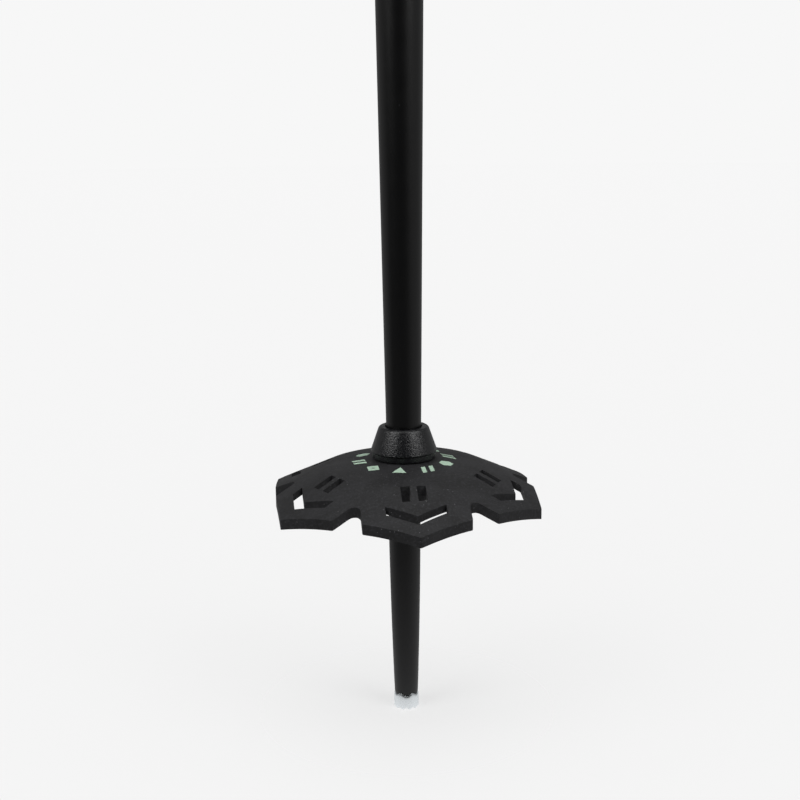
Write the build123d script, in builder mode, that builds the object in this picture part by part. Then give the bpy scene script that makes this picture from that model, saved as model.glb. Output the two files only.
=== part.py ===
"""Two-section trekking pole with a six-lobed snow basket.

Millimetres. The origin is the point where the crown tip meets the ground, and +Z runs up the pole.
A tapered lower tube ends in a tip ferrule, which carries the basket and its retaining collar. It
slides in the upper tube, where a cam lever lock clamps it. The upper tube carries the grip.
"""
import os
from math import cos, radians, sin

from build123d import *

os.makedirs("parts", exist_ok=True)

# Clearances
RUN = 0.05  # radial running clearance of a shaft in its hole
GAP = 0.3  # space between faces of bodies that move past each other

# Overall
POLE_LENGTH = 1200.0  # tip to top of the grip with the lower tube at its middle setting
LOCK_Z = 430.0  # bottom of the lever lock
FRONT = -90.0  # direction of the first basket lobe, degrees from +X
EXTEND = 200.0  # lower tube travel downwards
ENGAGED = 83.0  # tube left inside the lock and upper tube when fully extended

# Crown tip
CROWN_R = 4.4
CROWN_TOP_R = 4.15
CROWN_BAND = 4.4  # height of the cylindrical band
CROWN_HEIGHT = 5.4
TEETH = 11
TOOTH_DEPTH = 0.8
TOOTH_WALL = 1.2
FACE_HOLLOW = 1.56  # depth of the dished end face at its centre
TOOTH_TURN = 25.3  # first notch, degrees round from the front lobe
SHANK_R = 2.4
SHANK_LENGTH = 12.6

# Ferrule
FERRULE_BELLY_R = 5.09  # near the middle of its gently bowed side
FERRULE_BELLY = 35.6  # height of that radius above the crown
FERRULE_TOP_R = 5.6
FERRULE_SIDE = 66.6  # length of the bowed side
BARB_FLARE = 5.0
BARB_LIP = 0.55  # how far the barb stands out from the seat
BARB_HEIGHT = 1.6
SEAT_R = 7.45
NECK_R = 7.2
NECK_HEIGHT = 7.6
SOCKET_DEPTH = 20.0

# Basket
LOBES = 6
BASKET_R = 50.0  # centre to lobe point
LOBE_HALF_WIDTH = 17.7
LOBE_CORNER_A = 41.2  # where the side of a lobe ends, measured out from the centre
NOTCH_FILLET = 2.6
CORNER_FILLET = 0.8
HUB_R = 10.6
HUB_HEIGHT = 13.2
PLATEAU_START_R = 11.2
PLATEAU_R = 27.5
PLATEAU_DROP = 2.8
SKIRT_DROP = 10.3  # from the plateau's edge down to the lobe point
CREASE_FILLET = 12.0
BASKET_WALL = 3.45  # at the rim, measured vertically
WEB_WALL = 2.5  # round the chevron slots, measured vertically
WEB_START_R = 35.0
RIM_WIDTH = 2.8
CHEVRON_IN = 40.8  # point of the chevron slot's inner edge
CHEVRON_HALF = 9.9
CHEVRON_RAKE = 5.4
CHEVRON_WIDTH = 3.7
SLOT_MID_A = 30.7
SLOT_LENGTH = 7.0
SLOT_WIDTH = 3.05
SLOT_SPACING = 5.35

# Collar
COLLAR_BAND_R = 10.9
COLLAR_BAND = 2.0
COLLAR_STEP = 0.4  # height of the bevel from the band out to the cone
COLLAR_BASE_R = 11.45
COLLAR_TOP_R = 8.5
COLLAR_HEIGHT = 10.9
COLLAR_ROUND = 1.3

# Tubes
LOWER_TIP_R = 5.75
LOWER_R = 8.0
LOWER_WALL = 1.0
TAPER_LENGTH = 180.0
UPPER_R = 9.0
UPPER_WALL = 0.8
BUSH_HEIGHT = 8.0
BUSH_STEM = 15.0
BUSH_BORE_R = 4.0
BUSH_CHAMFER = 0.6

# Lever lock
HOUSING_R = 12.2
HOUSING_HEIGHT = 40.0
CLAMP_HEIGHT = 17.0  # lower part, which grips the lower tube
HOUSING_CHAMFER = 1.6
SPLIT_WIDTH = 2.5
SPLIT_INSET = 2.0  # how far the split runs past the clamp and in from the ears
EAR_X = 5.5
EAR_Y = 22.0
EAR_HEIGHT = 16.0
EAR_RAISE = 2.0  # from the bottom of the housing
EAR_ROUND = 3.0
SCREW_Y = -17.0
SCREW_R = 1.75
SCREW_HEAD_R = 3.2
SCREW_HEAD = 3.4
KNOB_R = 4.9
KNOB_WIDTH = 4.2
KNOB_FLUTES = 10
FLUTE_R = 1.0
FLUTE_OUT = 0.5  # flute centres, out from the knob's edge
PAD_THICKNESS = 1.0
PAD_WIDTH = 9.0
PAD_INSET = 1.0  # from the top and bottom of the ears
PAD_ROUND = 1.5
WASHER_R = 4.2
BARREL_R = 3.0
SCREW_END_INSET = 0.4  # from the far side of the barrel
LUG_R = 4.6
LEVER_HEIGHT = 17.0
FORK_GAP = 7.0
FORK_CLEAR = 0.8  # room round the lugs inside the fork
LEVER_WALL = 3.2
LEVER_FROM = 105.0  # free end of the lever, degrees from +X
LEVER_TO = 230.0  # its root by the lugs
LEVER_TAB_R = 2.2
LEVER_CLEAR = 0.4  # from the housing, closed
TAB_INSET = 0.1  # of the tab's inner side from the arm's
LEVER_LAP = 5.0  # degrees that the root overlaps the arm

# Grip
CAP_HEIGHT = 7.0
HEAD_HEIGHT = 35.0
GRIP_HEIGHT = 118.0
RING_HEIGHT = 4.0
RING_R = 14.2
RING_ROUND = 1.2
LOWER_FOAM_HEIGHT = 164.0
LOWER_FOAM_R = 13.2
LOWER_FOAM_ROUND = 2.0
END_RING_R = 12.4
END_RING_CHAMFER = 1.5
TUBE_IN_HEAD = 12.0
PLUG_HEIGHT = 20.0
PLUG_CHAMFER = 1.0
GRIP_X = 14.5  # half widths where the foam meets the head
GRIP_Y = 16.5
GRIP_SWELL = 1.4  # how far the foam's two waists draw in at the sides
GRIP_SWELL_Y = 2.1  # and at the front and back
FOAM_SECTIONS = 5
HEAD_X = 17.0
HEAD_Y = 21.0
HEAD_TOP_X = 16.2
HEAD_TOP_Y = 20.0
CAP_SHOULDER = 0.65  # share of the cap's height
CAP_SHOULDER_SIZE = 0.865  # share of the head's top face, there and at the crown
CAP_CROWN_SIZE = 0.5

# Wrist strap
STRAP_PIN_R = 1.6
STRAP_PIN_HALF = 14.0
STRAP_PIN_Y = 6.0
STRAP_PIN_DEPTH = 11.0  # below the head's top face
WEBBING = 2.0
STRAP_HALF_WIDTH = 10.0
STRAP_REST = -35.0  # direction of the strap's stem at rest, degrees up from +Y
STRAP_SWING = 45.0
STEM_LENGTH = 30.0
LOOP_DROP = 164.0
LOOP_OUT = 22.0
LOOP_R = 24.0
KEEPER_LENGTH = 6.0
KEEPER_HALF_WIDTH = 12.0
KEEPER_WALL = 2.0
KEEPER_OUT = 21.0
KEEPER_ROUND = 1.0

# Heights that follow from the sizes above
ferrule_side_top = CROWN_HEIGHT + FERRULE_SIDE
barb_z = ferrule_side_top + BARB_FLARE
barb_top = barb_z + BARB_HEIGHT
hub_z = barb_top + GAP
hub_top = hub_z + HUB_HEIGHT
collar_z = hub_top + GAP
neck_top = collar_z + NECK_HEIGHT
tube_z = neck_top - SOCKET_DEPTH
taper_top = tube_z + TAPER_LENGTH
upper_tube_z = LOCK_Z + CLAMP_HEIGHT
lower_tube_top = upper_tube_z + ENGAGED + EXTEND
ear_z = LOCK_Z + EAR_RAISE
screw_z = ear_z + EAR_HEIGHT / 2
cap_z = POLE_LENGTH - CAP_HEIGHT
head_z = cap_z - HEAD_HEIGHT
foam_z = head_z - GRIP_HEIGHT
mid_ring_z = foam_z - RING_HEIGHT
lower_foam_z = mid_ring_z - LOWER_FOAM_HEIGHT
end_ring_z = lower_foam_z - RING_HEIGHT
upper_tube_top = head_z + TUBE_IN_HEAD
strap_pin_z = cap_z - STRAP_PIN_DEPTH


def lower_radius(z):
    """Outer radius of the lower tube at a height on its taper."""
    return LOWER_TIP_R + (LOWER_R - LOWER_TIP_R) * (z - tube_z) / TAPER_LENGTH


def skirt_top(r):
    """Height of the basket's upper face at a radius out from its crease."""
    slope = SKIRT_DROP / (BASKET_R - PLATEAU_R)
    return hub_top - PLATEAU_DROP - slope * (r - PLATEAU_R)


def along(direction, distance, sideways=0.0):
    """Point in the Y-Z plane, out from the strap pin in a direction given in degrees up from +Y."""
    c, s = cos(radians(direction)), sin(radians(direction))
    return (STRAP_PIN_Y + distance * c - sideways * s, strap_pin_z + distance * s + sideways * c)


# ---- Tip ------------------------------------------------------------------------------------

with BuildPart() as crown_tip:
    with BuildSketch(Plane.XZ):
        with BuildLine():
            Polyline(
                (0, FACE_HOLLOW),
                (CROWN_R - TOOTH_WALL, TOOTH_DEPTH),
                (CROWN_R - TOOTH_WALL, 0),
                (CROWN_R, 0),
                (CROWN_R, CROWN_BAND),
                (CROWN_TOP_R, CROWN_HEIGHT),
                (SHANK_R, CROWN_HEIGHT),
                (SHANK_R, CROWN_HEIGHT + SHANK_LENGTH),
                (0, CROWN_HEIGHT + SHANK_LENGTH),
                close=True,
            )
        make_face()
    revolve(axis=Axis.Z)
    with PolarLocations(CROWN_R, TEETH, start_angle=FRONT + TOOTH_TURN):
        Box(
            4 * TOOTH_WALL,
            TOOTH_DEPTH * 2**0.5,
            TOOTH_DEPTH * 2**0.5,
            rotation=(45, 0, 0),
            mode=Mode.SUBTRACT,
        )
crown_tip.part.label = "crown_tip"
export_step(crown_tip.part, "parts/crown_tip.step")

# One moulding: bowed point, snap barb, basket seat, and the neck that the collar presses onto.
with BuildPart() as ferrule:
    with BuildSketch(Plane.XZ):
        with BuildLine():
            ThreePointArc(
                (CROWN_TOP_R, CROWN_HEIGHT),
                (FERRULE_BELLY_R, CROWN_HEIGHT + FERRULE_BELLY),
                (FERRULE_TOP_R, ferrule_side_top),
            )
            Polyline(
                (FERRULE_TOP_R, ferrule_side_top),
                (FERRULE_TOP_R, barb_z - 2 * BARB_HEIGHT),
                (SEAT_R + BARB_LIP, barb_z),
                (SEAT_R + BARB_LIP, barb_top - BARB_LIP),
                (SEAT_R, barb_top),
                (SEAT_R, collar_z),
                (NECK_R, collar_z),
                (NECK_R, neck_top),
                (lower_radius(neck_top), neck_top),
                (LOWER_TIP_R, tube_z),
                (0, tube_z),
                (0, CROWN_HEIGHT + SHANK_LENGTH),
                (SHANK_R, CROWN_HEIGHT + SHANK_LENGTH),
                (SHANK_R, CROWN_HEIGHT),
                (CROWN_TOP_R, CROWN_HEIGHT),
            )
        make_face()
    revolve(axis=Axis.Z)
ferrule.part.label = "ferrule"
export_step(ferrule.part, "parts/ferrule.step")

with BuildPart() as shaft_collar:
    with BuildSketch(Plane.XZ) as collar_profile:
        with BuildLine():
            Polyline(
                (NECK_R, collar_z),
                (COLLAR_BAND_R, collar_z),
                (COLLAR_BAND_R, collar_z + COLLAR_BAND),
                (COLLAR_BASE_R, collar_z + COLLAR_BAND + COLLAR_STEP),
                (COLLAR_TOP_R, collar_z + COLLAR_HEIGHT),
                (lower_radius(neck_top) + GAP, collar_z + COLLAR_HEIGHT),
                (lower_radius(neck_top) + GAP, neck_top),
                (NECK_R, neck_top),
                close=True,
            )
        make_face()
        fillet(collar_profile.vertices().group_by(Axis.Y)[-1].sort_by(Axis.X)[-1], COLLAR_ROUND)
    revolve(axis=Axis.Z)
shaft_collar.part.label = "shaft_collar"
export_step(shaft_collar.part, "parts/shaft_collar.step")

# ---- Basket ---------------------------------------------------------------------------------

# A domed shell turned about the pole, trimmed to six lobes with a point, two corners and
# parallel sides each, pierced by a chevron and two short slots in every lobe, and pocketed below.
notch_r = LOBE_HALF_WIDTH / sin(radians(180 / LOBES))
notch_a = notch_r * cos(radians(180 / LOBES))


def radius_of(vertex):
    """Distance of a vertex from the pole's axis."""
    return (vertex.X**2 + vertex.Y**2) ** 0.5


with BuildPart() as basket:
    with BuildSketch(Plane.XZ) as shell_profile:
        with BuildLine():
            Polyline(
                (PLATEAU_START_R, hub_top),
                (PLATEAU_R, hub_top - PLATEAU_DROP),
                (BASKET_R + 1, skirt_top(BASKET_R + 1)),
                (BASKET_R + 1, skirt_top(BASKET_R + 1) - BASKET_WALL),
                (PLATEAU_R, hub_top - PLATEAU_DROP - BASKET_WALL),
                (PLATEAU_START_R, hub_top - BASKET_WALL),
                close=True,
            )
        make_face()
        crease = [v for v in shell_profile.vertices() if abs(v.X - PLATEAU_R) < 0.01]
        fillet(crease, CREASE_FILLET)
        with BuildLine():
            Polyline(
                (SEAT_R + RUN, hub_z),
                (HUB_R, hub_z),
                (HUB_R, hub_top - BASKET_WALL),
                (PLATEAU_START_R, hub_top - BASKET_WALL),
                (PLATEAU_START_R, hub_top),
                (SEAT_R + RUN, hub_top),
                close=True,
            )
        make_face()
    revolve(axis=Axis.Z)
    with BuildSketch(Plane.XY.offset(hub_z - BASKET_R)) as outline:
        with PolarLocations(0, LOBES, start_angle=FRONT):
            Polygon(
                (0, 0),
                (notch_a, -LOBE_HALF_WIDTH),
                (LOBE_CORNER_A, -LOBE_HALF_WIDTH),
                (BASKET_R, 0),
                (LOBE_CORNER_A, LOBE_HALF_WIDTH),
                (notch_a, LOBE_HALF_WIDTH),
                align=None,
            )
        fillet([v for v in outline.vertices() if abs(radius_of(v) - notch_r) < 0.1], NOTCH_FILLET)
        fillet([v for v in outline.vertices() if radius_of(v) > LOBE_CORNER_A], CORNER_FILLET)
    extrude(amount=2 * BASKET_R, mode=Mode.INTERSECT)
    with BuildSketch(Plane.XY.offset(hub_z - BASKET_R)):
        with PolarLocations(0, LOBES, start_angle=FRONT):
            Polygon(
                (CHEVRON_IN, 0),
                (CHEVRON_IN - CHEVRON_RAKE, CHEVRON_HALF),
                (CHEVRON_IN - CHEVRON_RAKE + CHEVRON_WIDTH, CHEVRON_HALF),
                (CHEVRON_IN + CHEVRON_WIDTH, 0),
                (CHEVRON_IN - CHEVRON_RAKE + CHEVRON_WIDTH, -CHEVRON_HALF),
                (CHEVRON_IN - CHEVRON_RAKE, -CHEVRON_HALF),
                align=None,
            )
            with Locations((SLOT_MID_A, SLOT_SPACING / 2), (SLOT_MID_A, -SLOT_SPACING / 2)):
                Rectangle(SLOT_LENGTH, SLOT_WIDTH)
    extrude(amount=2 * BASKET_R, mode=Mode.SUBTRACT)
    with BuildPart(mode=Mode.SUBTRACT):  # each lobe's underside, pocketed to a thin web in a rim
        with BuildSketch(Plane.XZ):
            with BuildLine():
                Polyline(
                    (WEB_START_R, hub_z - BASKET_R),
                    (WEB_START_R, skirt_top(WEB_START_R) - WEB_WALL),
                    (BASKET_R, skirt_top(BASKET_R) - WEB_WALL),
                    (BASKET_R, hub_z - BASKET_R),
                    close=True,
                )
            make_face()
        revolve(axis=Axis.Z)
        with BuildSketch(Plane.XY.offset(hub_z - BASKET_R)):
            add(outline.sketch)
            offset(amount=-RIM_WIDTH, mode=Mode.REPLACE)
        extrude(amount=2 * BASKET_R, mode=Mode.INTERSECT)
basket.part.label = "basket"
export_step(basket.part, "parts/basket.step")

# ---- Tubes ----------------------------------------------------------------------------------

with BuildPart() as lower_shaft:
    with BuildSketch(Plane.XZ):
        with BuildLine():
            Polyline(
                (LOWER_TIP_R, tube_z),
                (LOWER_R, taper_top),
                (LOWER_R, lower_tube_top),
                (LOWER_R - LOWER_WALL, lower_tube_top),
                (LOWER_R - LOWER_WALL, taper_top),
                (LOWER_TIP_R - LOWER_WALL, tube_z),
                close=True,
            )
        make_face()
    revolve(axis=Axis.Z)
lower_shaft.part.label = "lower_shaft"
export_step(lower_shaft.part, "parts/lower_shaft.step")

with BuildPart() as guide_bush:
    with BuildSketch(Plane.XY.offset(lower_tube_top - BUSH_STEM)):
        Circle(LOWER_R - LOWER_WALL)
    extrude(amount=BUSH_STEM)
    with BuildSketch(Plane.XY.offset(lower_tube_top)):
        Circle(UPPER_R - UPPER_WALL - RUN)
    extrude(amount=BUSH_HEIGHT)
    chamfer(guide_bush.edges().filter_by(GeomType.CIRCLE).sort_by(Axis.Z)[-1], BUSH_CHAMFER)
    with BuildSketch(Plane.XY.offset(lower_tube_top - BUSH_STEM)):
        Circle(BUSH_BORE_R)
    extrude(amount=BUSH_STEM + BUSH_HEIGHT, mode=Mode.SUBTRACT)
guide_bush.part.label = "guide_bush"
export_step(guide_bush.part, "parts/guide_bush.step")

with BuildPart() as upper_shaft:
    with BuildSketch(Plane.XY.offset(upper_tube_z)):
        Circle(UPPER_R)
        Circle(UPPER_R - UPPER_WALL, mode=Mode.SUBTRACT)
    extrude(amount=upper_tube_top - upper_tube_z)
upper_shaft.part.label = "upper_shaft"
export_step(upper_shaft.part, "parts/upper_shaft.step")

# ---- Lever lock -----------------------------------------------------------------------------

with BuildPart() as lock_housing:
    with BuildSketch(Plane.XY.offset(LOCK_Z)):
        Circle(HOUSING_R)
    extrude(amount=HOUSING_HEIGHT)
    chamfer(lock_housing.edges().filter_by(GeomType.CIRCLE), HOUSING_CHAMFER)
    with BuildSketch(Plane.XY.offset(ear_z)):
        with Locations((0, -EAR_Y / 2)):
            Rectangle(2 * EAR_X, EAR_Y)
    extrude(amount=EAR_HEIGHT)
    fillet(lock_housing.edges().filter_by(Axis.X).group_by(Axis.Y)[0], EAR_ROUND)
    with BuildSketch(Plane.XY.offset(LOCK_Z)):
        Circle(LOWER_R + RUN)
    extrude(amount=CLAMP_HEIGHT, mode=Mode.SUBTRACT)
    with BuildSketch(Plane.XY.offset(upper_tube_z)):
        Circle(UPPER_R)
    extrude(amount=HOUSING_HEIGHT - CLAMP_HEIGHT, mode=Mode.SUBTRACT)
    with BuildSketch(Plane.XY.offset(LOCK_Z)):
        with Locations((0, -EAR_Y / 2 - SPLIT_INSET)):
            Rectangle(SPLIT_WIDTH, EAR_Y)
    extrude(amount=CLAMP_HEIGHT + SPLIT_INSET, mode=Mode.SUBTRACT)
    with BuildSketch(Plane.YZ):
        with Locations((SCREW_Y, screw_z)):
            Circle(SCREW_R + RUN)
    extrude(amount=2 * EAR_X, both=True, mode=Mode.SUBTRACT)
lock_housing.part.label = "lock_housing"
export_step(lock_housing.part, "parts/lock_housing.step")

with BuildPart() as screw_washer:
    with BuildSketch(Plane.YZ.offset(EAR_X)):
        with Locations((SCREW_Y, screw_z)):
            Circle(WASHER_R)
            Circle(SCREW_R + RUN, mode=Mode.SUBTRACT)
    extrude(amount=PAD_THICKNESS)
screw_washer.part.label = "screw_washer"
export_step(screw_washer.part, "parts/screw_washer.step")

with BuildPart() as cam_pad:
    with BuildSketch(Plane.YZ.offset(-EAR_X - PAD_THICKNESS)) as pad_face:
        with Locations((SCREW_Y, screw_z)):
            Rectangle(PAD_WIDTH, EAR_HEIGHT - 2 * PAD_INSET)
            fillet(pad_face.vertices(), PAD_ROUND)
            Circle(SCREW_R + RUN, mode=Mode.SUBTRACT)
    extrude(amount=PAD_THICKNESS)
cam_pad.part.label = "cam_pad"
export_step(cam_pad.part, "parts/cam_pad.step")

barrel_x = -(EAR_X + PAD_THICKNESS + GAP + LUG_R)
head_x = EAR_X + PAD_THICKNESS + 2 * RUN

with BuildPart() as lever_barrel:
    with BuildSketch(Plane.XY.offset(screw_z - LEVER_HEIGHT / 2)):
        with Locations((barrel_x, SCREW_Y)):
            Circle(BARREL_R)
    extrude(amount=LEVER_HEIGHT)
    with BuildSketch(Plane.YZ.offset(barrel_x)):
        with Locations((SCREW_Y, screw_z)):
            Circle(SCREW_R + RUN)
    extrude(amount=2 * BARREL_R, both=True, mode=Mode.SUBTRACT)
lever_barrel.part.label = "lever_barrel"
export_step(lever_barrel.part, "parts/lever_barrel.step")

with BuildPart() as tension_screw:
    with BuildSketch(Plane.YZ.offset(barrel_x - BARREL_R + SCREW_END_INSET)):
        with Locations((SCREW_Y, screw_z)):
            Circle(SCREW_R)
    extrude(amount=head_x - barrel_x + BARREL_R - SCREW_END_INSET)
    with BuildSketch(Plane.YZ.offset(head_x)):
        with Locations((SCREW_Y, screw_z)):
            Circle(SCREW_HEAD_R)
    extrude(amount=SCREW_HEAD)
    with BuildSketch(Plane.YZ.offset(head_x + SCREW_HEAD)):
        with Locations((SCREW_Y, screw_z)):
            RegularPolygon(SCREW_R, 6)
    extrude(amount=-SCREW_HEAD / 2, mode=Mode.SUBTRACT)
tension_screw.part.label = "tension_screw"
export_step(tension_screw.part, "parts/tension_screw.step")

with BuildPart() as screw_knob:
    with BuildSketch(Plane.YZ.offset(head_x)):
        with Locations((SCREW_Y, screw_z)):
            Circle(KNOB_R)
            Circle(SCREW_HEAD_R, mode=Mode.SUBTRACT)
            with PolarLocations(KNOB_R + FLUTE_OUT, KNOB_FLUTES):
                Circle(FLUTE_R, mode=Mode.SUBTRACT)
    extrude(amount=KNOB_WIDTH)
screw_knob.part.label = "screw_knob"
export_step(screw_knob.part, "parts/screw_knob.step")

lever_in = HOUSING_R + LEVER_CLEAR
lever_mid = lever_in + LEVER_WALL / 2
lever_z = screw_z - LEVER_HEIGHT / 2


def polar(radius, degrees):
    """Point at a radius and direction in the X-Y plane."""
    return (radius * cos(radians(degrees)), radius * sin(radians(degrees)))


with BuildPart() as lock_lever:
    with BuildSketch(Plane.XY.offset(lever_z)):
        with Locations((barrel_x, SCREW_Y)):
            Circle(LUG_R)
        with Locations(polar(lever_mid, LEVER_TO - LEVER_LAP)):
            Circle(LEVER_WALL / 2)
        make_hull()
    extrude(amount=LEVER_HEIGHT)
    with BuildSketch(Plane.XY.offset(lever_z)):
        Circle(lever_in + LEVER_WALL)
        Circle(lever_in, mode=Mode.SUBTRACT)
        Polygon(
            (0, 0),
            polar(2 * lever_mid, LEVER_FROM),
            polar(2 * lever_mid, (LEVER_FROM + LEVER_TO) / 2),
            polar(2 * lever_mid, LEVER_TO),
            align=None,
            mode=Mode.INTERSECT,
        )
    extrude(amount=LEVER_HEIGHT)
    with BuildSketch(Plane.XY.offset(lever_z)):
        with Locations(polar(lever_in + LEVER_TAB_R + TAB_INSET, LEVER_FROM)):
            Circle(LEVER_TAB_R)
    extrude(amount=LEVER_HEIGHT)
    with BuildSketch(Plane.XY.offset(screw_z - FORK_GAP / 2)):
        with Locations((barrel_x, SCREW_Y)):
            Circle(LUG_R + FORK_CLEAR)
    extrude(amount=FORK_GAP, mode=Mode.SUBTRACT)
    with BuildSketch(Plane.XY.offset(lever_z)):
        with Locations((barrel_x, SCREW_Y)):
            Circle(BARREL_R + RUN)
    extrude(amount=LEVER_HEIGHT, mode=Mode.SUBTRACT)
lock_lever.part.label = "lock_lever"
export_step(lock_lever.part, "parts/lock_lever.step")

# ---- Grip -----------------------------------------------------------------------------------

with BuildPart() as foam_end_ring:
    with BuildSketch(Plane.XY.offset(end_ring_z)):
        Circle(END_RING_R)
        Circle(UPPER_R, mode=Mode.SUBTRACT)
    extrude(amount=RING_HEIGHT)
    chamfer(foam_end_ring.edges().group_by(Axis.Z)[0].sort_by(SortBy.RADIUS)[-1], END_RING_CHAMFER)
foam_end_ring.part.label = "foam_end_ring"
export_step(foam_end_ring.part, "parts/foam_end_ring.step")

with BuildPart() as lower_foam:
    with BuildSketch(Plane.XY.offset(lower_foam_z)):
        Circle(LOWER_FOAM_R)
    extrude(amount=LOWER_FOAM_HEIGHT)
    fillet(lower_foam.edges().filter_by(GeomType.CIRCLE), LOWER_FOAM_ROUND)
    with BuildSketch(Plane.XY.offset(lower_foam_z)):
        Circle(UPPER_R)
    extrude(amount=LOWER_FOAM_HEIGHT, mode=Mode.SUBTRACT)
lower_foam.part.label = "lower_foam"
export_step(lower_foam.part, "parts/lower_foam.step")

with BuildPart() as grip_ring:
    with BuildSketch(Plane.XY.offset(mid_ring_z)):
        Circle(RING_R)
    extrude(amount=RING_HEIGHT)
    fillet(grip_ring.edges().filter_by(GeomType.CIRCLE), RING_ROUND)
    with BuildSketch(Plane.XY.offset(mid_ring_z)):
        Circle(UPPER_R)
    extrude(amount=RING_HEIGHT, mode=Mode.SUBTRACT)
grip_ring.part.label = "grip_ring"
export_step(grip_ring.part, "parts/grip_ring.step")

# The foam swells and draws in twice along its length, to seat the fingers.
with BuildPart() as grip_foam:
    for section in range(FOAM_SECTIONS):
        waist = section % 2
        with BuildSketch(Plane.XY.offset(foam_z + GRIP_HEIGHT * section / (FOAM_SECTIONS - 1))):
            Ellipse(GRIP_X - waist * GRIP_SWELL, GRIP_Y - waist * GRIP_SWELL_Y)
    loft()
    with BuildSketch(Plane.XY.offset(foam_z)):
        Circle(UPPER_R)
    extrude(amount=GRIP_HEIGHT, mode=Mode.SUBTRACT)
grip_foam.part.label = "grip_foam"
export_step(grip_foam.part, "parts/grip_foam.step")

# The pocket in the head lets the strap's stem swing from its rest to its highest direction.
strap_half = WEBBING + GAP / 2
pocket_half = strap_half + GAP
strap_high = STRAP_REST + STRAP_SWING

with BuildPart() as grip_head:
    with BuildSketch(Plane.XY.offset(head_z)):
        Ellipse(GRIP_X, GRIP_Y)
    with BuildSketch(Plane.XY.offset((head_z + strap_pin_z) / 2)):
        Ellipse((GRIP_X + HEAD_X) / 2, (GRIP_Y + HEAD_Y) / 2)
    with BuildSketch(Plane.XY.offset(strap_pin_z)):
        Ellipse(HEAD_X, HEAD_Y)
    with BuildSketch(Plane.XY.offset(cap_z)):
        Ellipse(HEAD_TOP_X, HEAD_TOP_Y)
    loft()
    with BuildSketch(Plane.XY.offset(head_z)):
        Circle(UPPER_R)
    extrude(amount=TUBE_IN_HEAD, mode=Mode.SUBTRACT)
    with BuildSketch(Plane.YZ):
        with Locations((STRAP_PIN_Y, strap_pin_z)):
            Circle(STRAP_PIN_R)
    extrude(amount=STRAP_PIN_HALF, both=True, mode=Mode.SUBTRACT)
    with BuildSketch(Plane.YZ):
        with Locations((STRAP_PIN_Y, strap_pin_z)):
            Circle(STRAP_PIN_R + GAP + WEBBING + GAP)
        Polygon(
            along(STRAP_REST, 0, -pocket_half),
            along(STRAP_REST, 2 * HEAD_Y, -pocket_half),
            along(strap_high, 2 * HEAD_Y, pocket_half),
            along(strap_high, 0, pocket_half),
            align=None,
        )
    extrude(amount=STRAP_HALF_WIDTH + 2 * GAP, both=True, mode=Mode.SUBTRACT)
grip_head.part.label = "grip_head"
export_step(grip_head.part, "parts/grip_head.step")

with BuildPart() as grip_cap:
    with BuildSketch(Plane.XY.offset(cap_z)):
        Ellipse(HEAD_TOP_X, HEAD_TOP_Y)
    with BuildSketch(Plane.XY.offset(cap_z + CAP_SHOULDER * CAP_HEIGHT)):
        Ellipse(CAP_SHOULDER_SIZE * HEAD_TOP_X, CAP_SHOULDER_SIZE * HEAD_TOP_Y)
    with BuildSketch(Plane.XY.offset(POLE_LENGTH)):
        Ellipse(CAP_CROWN_SIZE * HEAD_TOP_X, CAP_CROWN_SIZE * HEAD_TOP_Y)
    loft()
grip_cap.part.label = "grip_cap"
export_step(grip_cap.part, "parts/grip_cap.step")

with BuildPart() as grip_plug:
    with BuildSketch(Plane.XY.offset(upper_tube_top - PLUG_HEIGHT)):
        Circle(UPPER_R - UPPER_WALL)
    extrude(amount=PLUG_HEIGHT)
    chamfer(grip_plug.edges().filter_by(GeomType.CIRCLE).sort_by(Axis.Z)[0], PLUG_CHAMFER)
grip_plug.part.label = "grip_plug"
export_step(grip_plug.part, "parts/grip_plug.step")

with BuildPart() as strap_pin:
    with BuildSketch(Plane.YZ):
        with Locations((STRAP_PIN_Y, strap_pin_z)):
            Circle(STRAP_PIN_R)
    extrude(amount=STRAP_PIN_HALF, both=True)
strap_pin.part.label = "strap_pin"
export_step(strap_pin.part, "parts/strap_pin.step")

# ---- Wrist strap ----------------------------------------------------------------------------

# Webbing that turns round the pin, leaves the head as a doubled stem and hangs as a loop.
apex = along(STRAP_REST, STEM_LENGTH)
loop_centre = (apex[0] + LOOP_OUT, apex[1] - LOOP_DROP)

with BuildPart() as wrist_strap:
    with BuildSketch(Plane.YZ):
        with Locations((STRAP_PIN_Y, strap_pin_z)):
            Circle(STRAP_PIN_R + GAP + WEBBING)
        Polygon(
            along(STRAP_REST, 0, -strap_half),
            along(STRAP_REST, STEM_LENGTH, -strap_half),
            along(STRAP_REST, STEM_LENGTH, strap_half),
            along(STRAP_REST, 0, strap_half),
            align=None,
        )
        with Locations((STRAP_PIN_Y, strap_pin_z)):
            Circle(STRAP_PIN_R + GAP, mode=Mode.SUBTRACT)
    extrude(amount=STRAP_HALF_WIDTH, both=True)
    with BuildSketch(Plane.YZ):
        with Locations(apex):
            Circle(WEBBING + GAP / 2)
        with Locations(loop_centre):
            Circle(LOOP_R)
        make_hull()
    extrude(amount=STRAP_HALF_WIDTH, both=True)
    with BuildSketch(Plane.YZ):
        with Locations(apex):
            Circle(GAP / 2)
        with Locations(loop_centre):
            Circle(LOOP_R - WEBBING)
        make_hull()
    extrude(amount=STRAP_HALF_WIDTH, both=True, mode=Mode.SUBTRACT)
wrist_strap.part.label = "wrist_strap"
export_step(wrist_strap.part, "parts/wrist_strap.step")

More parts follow.
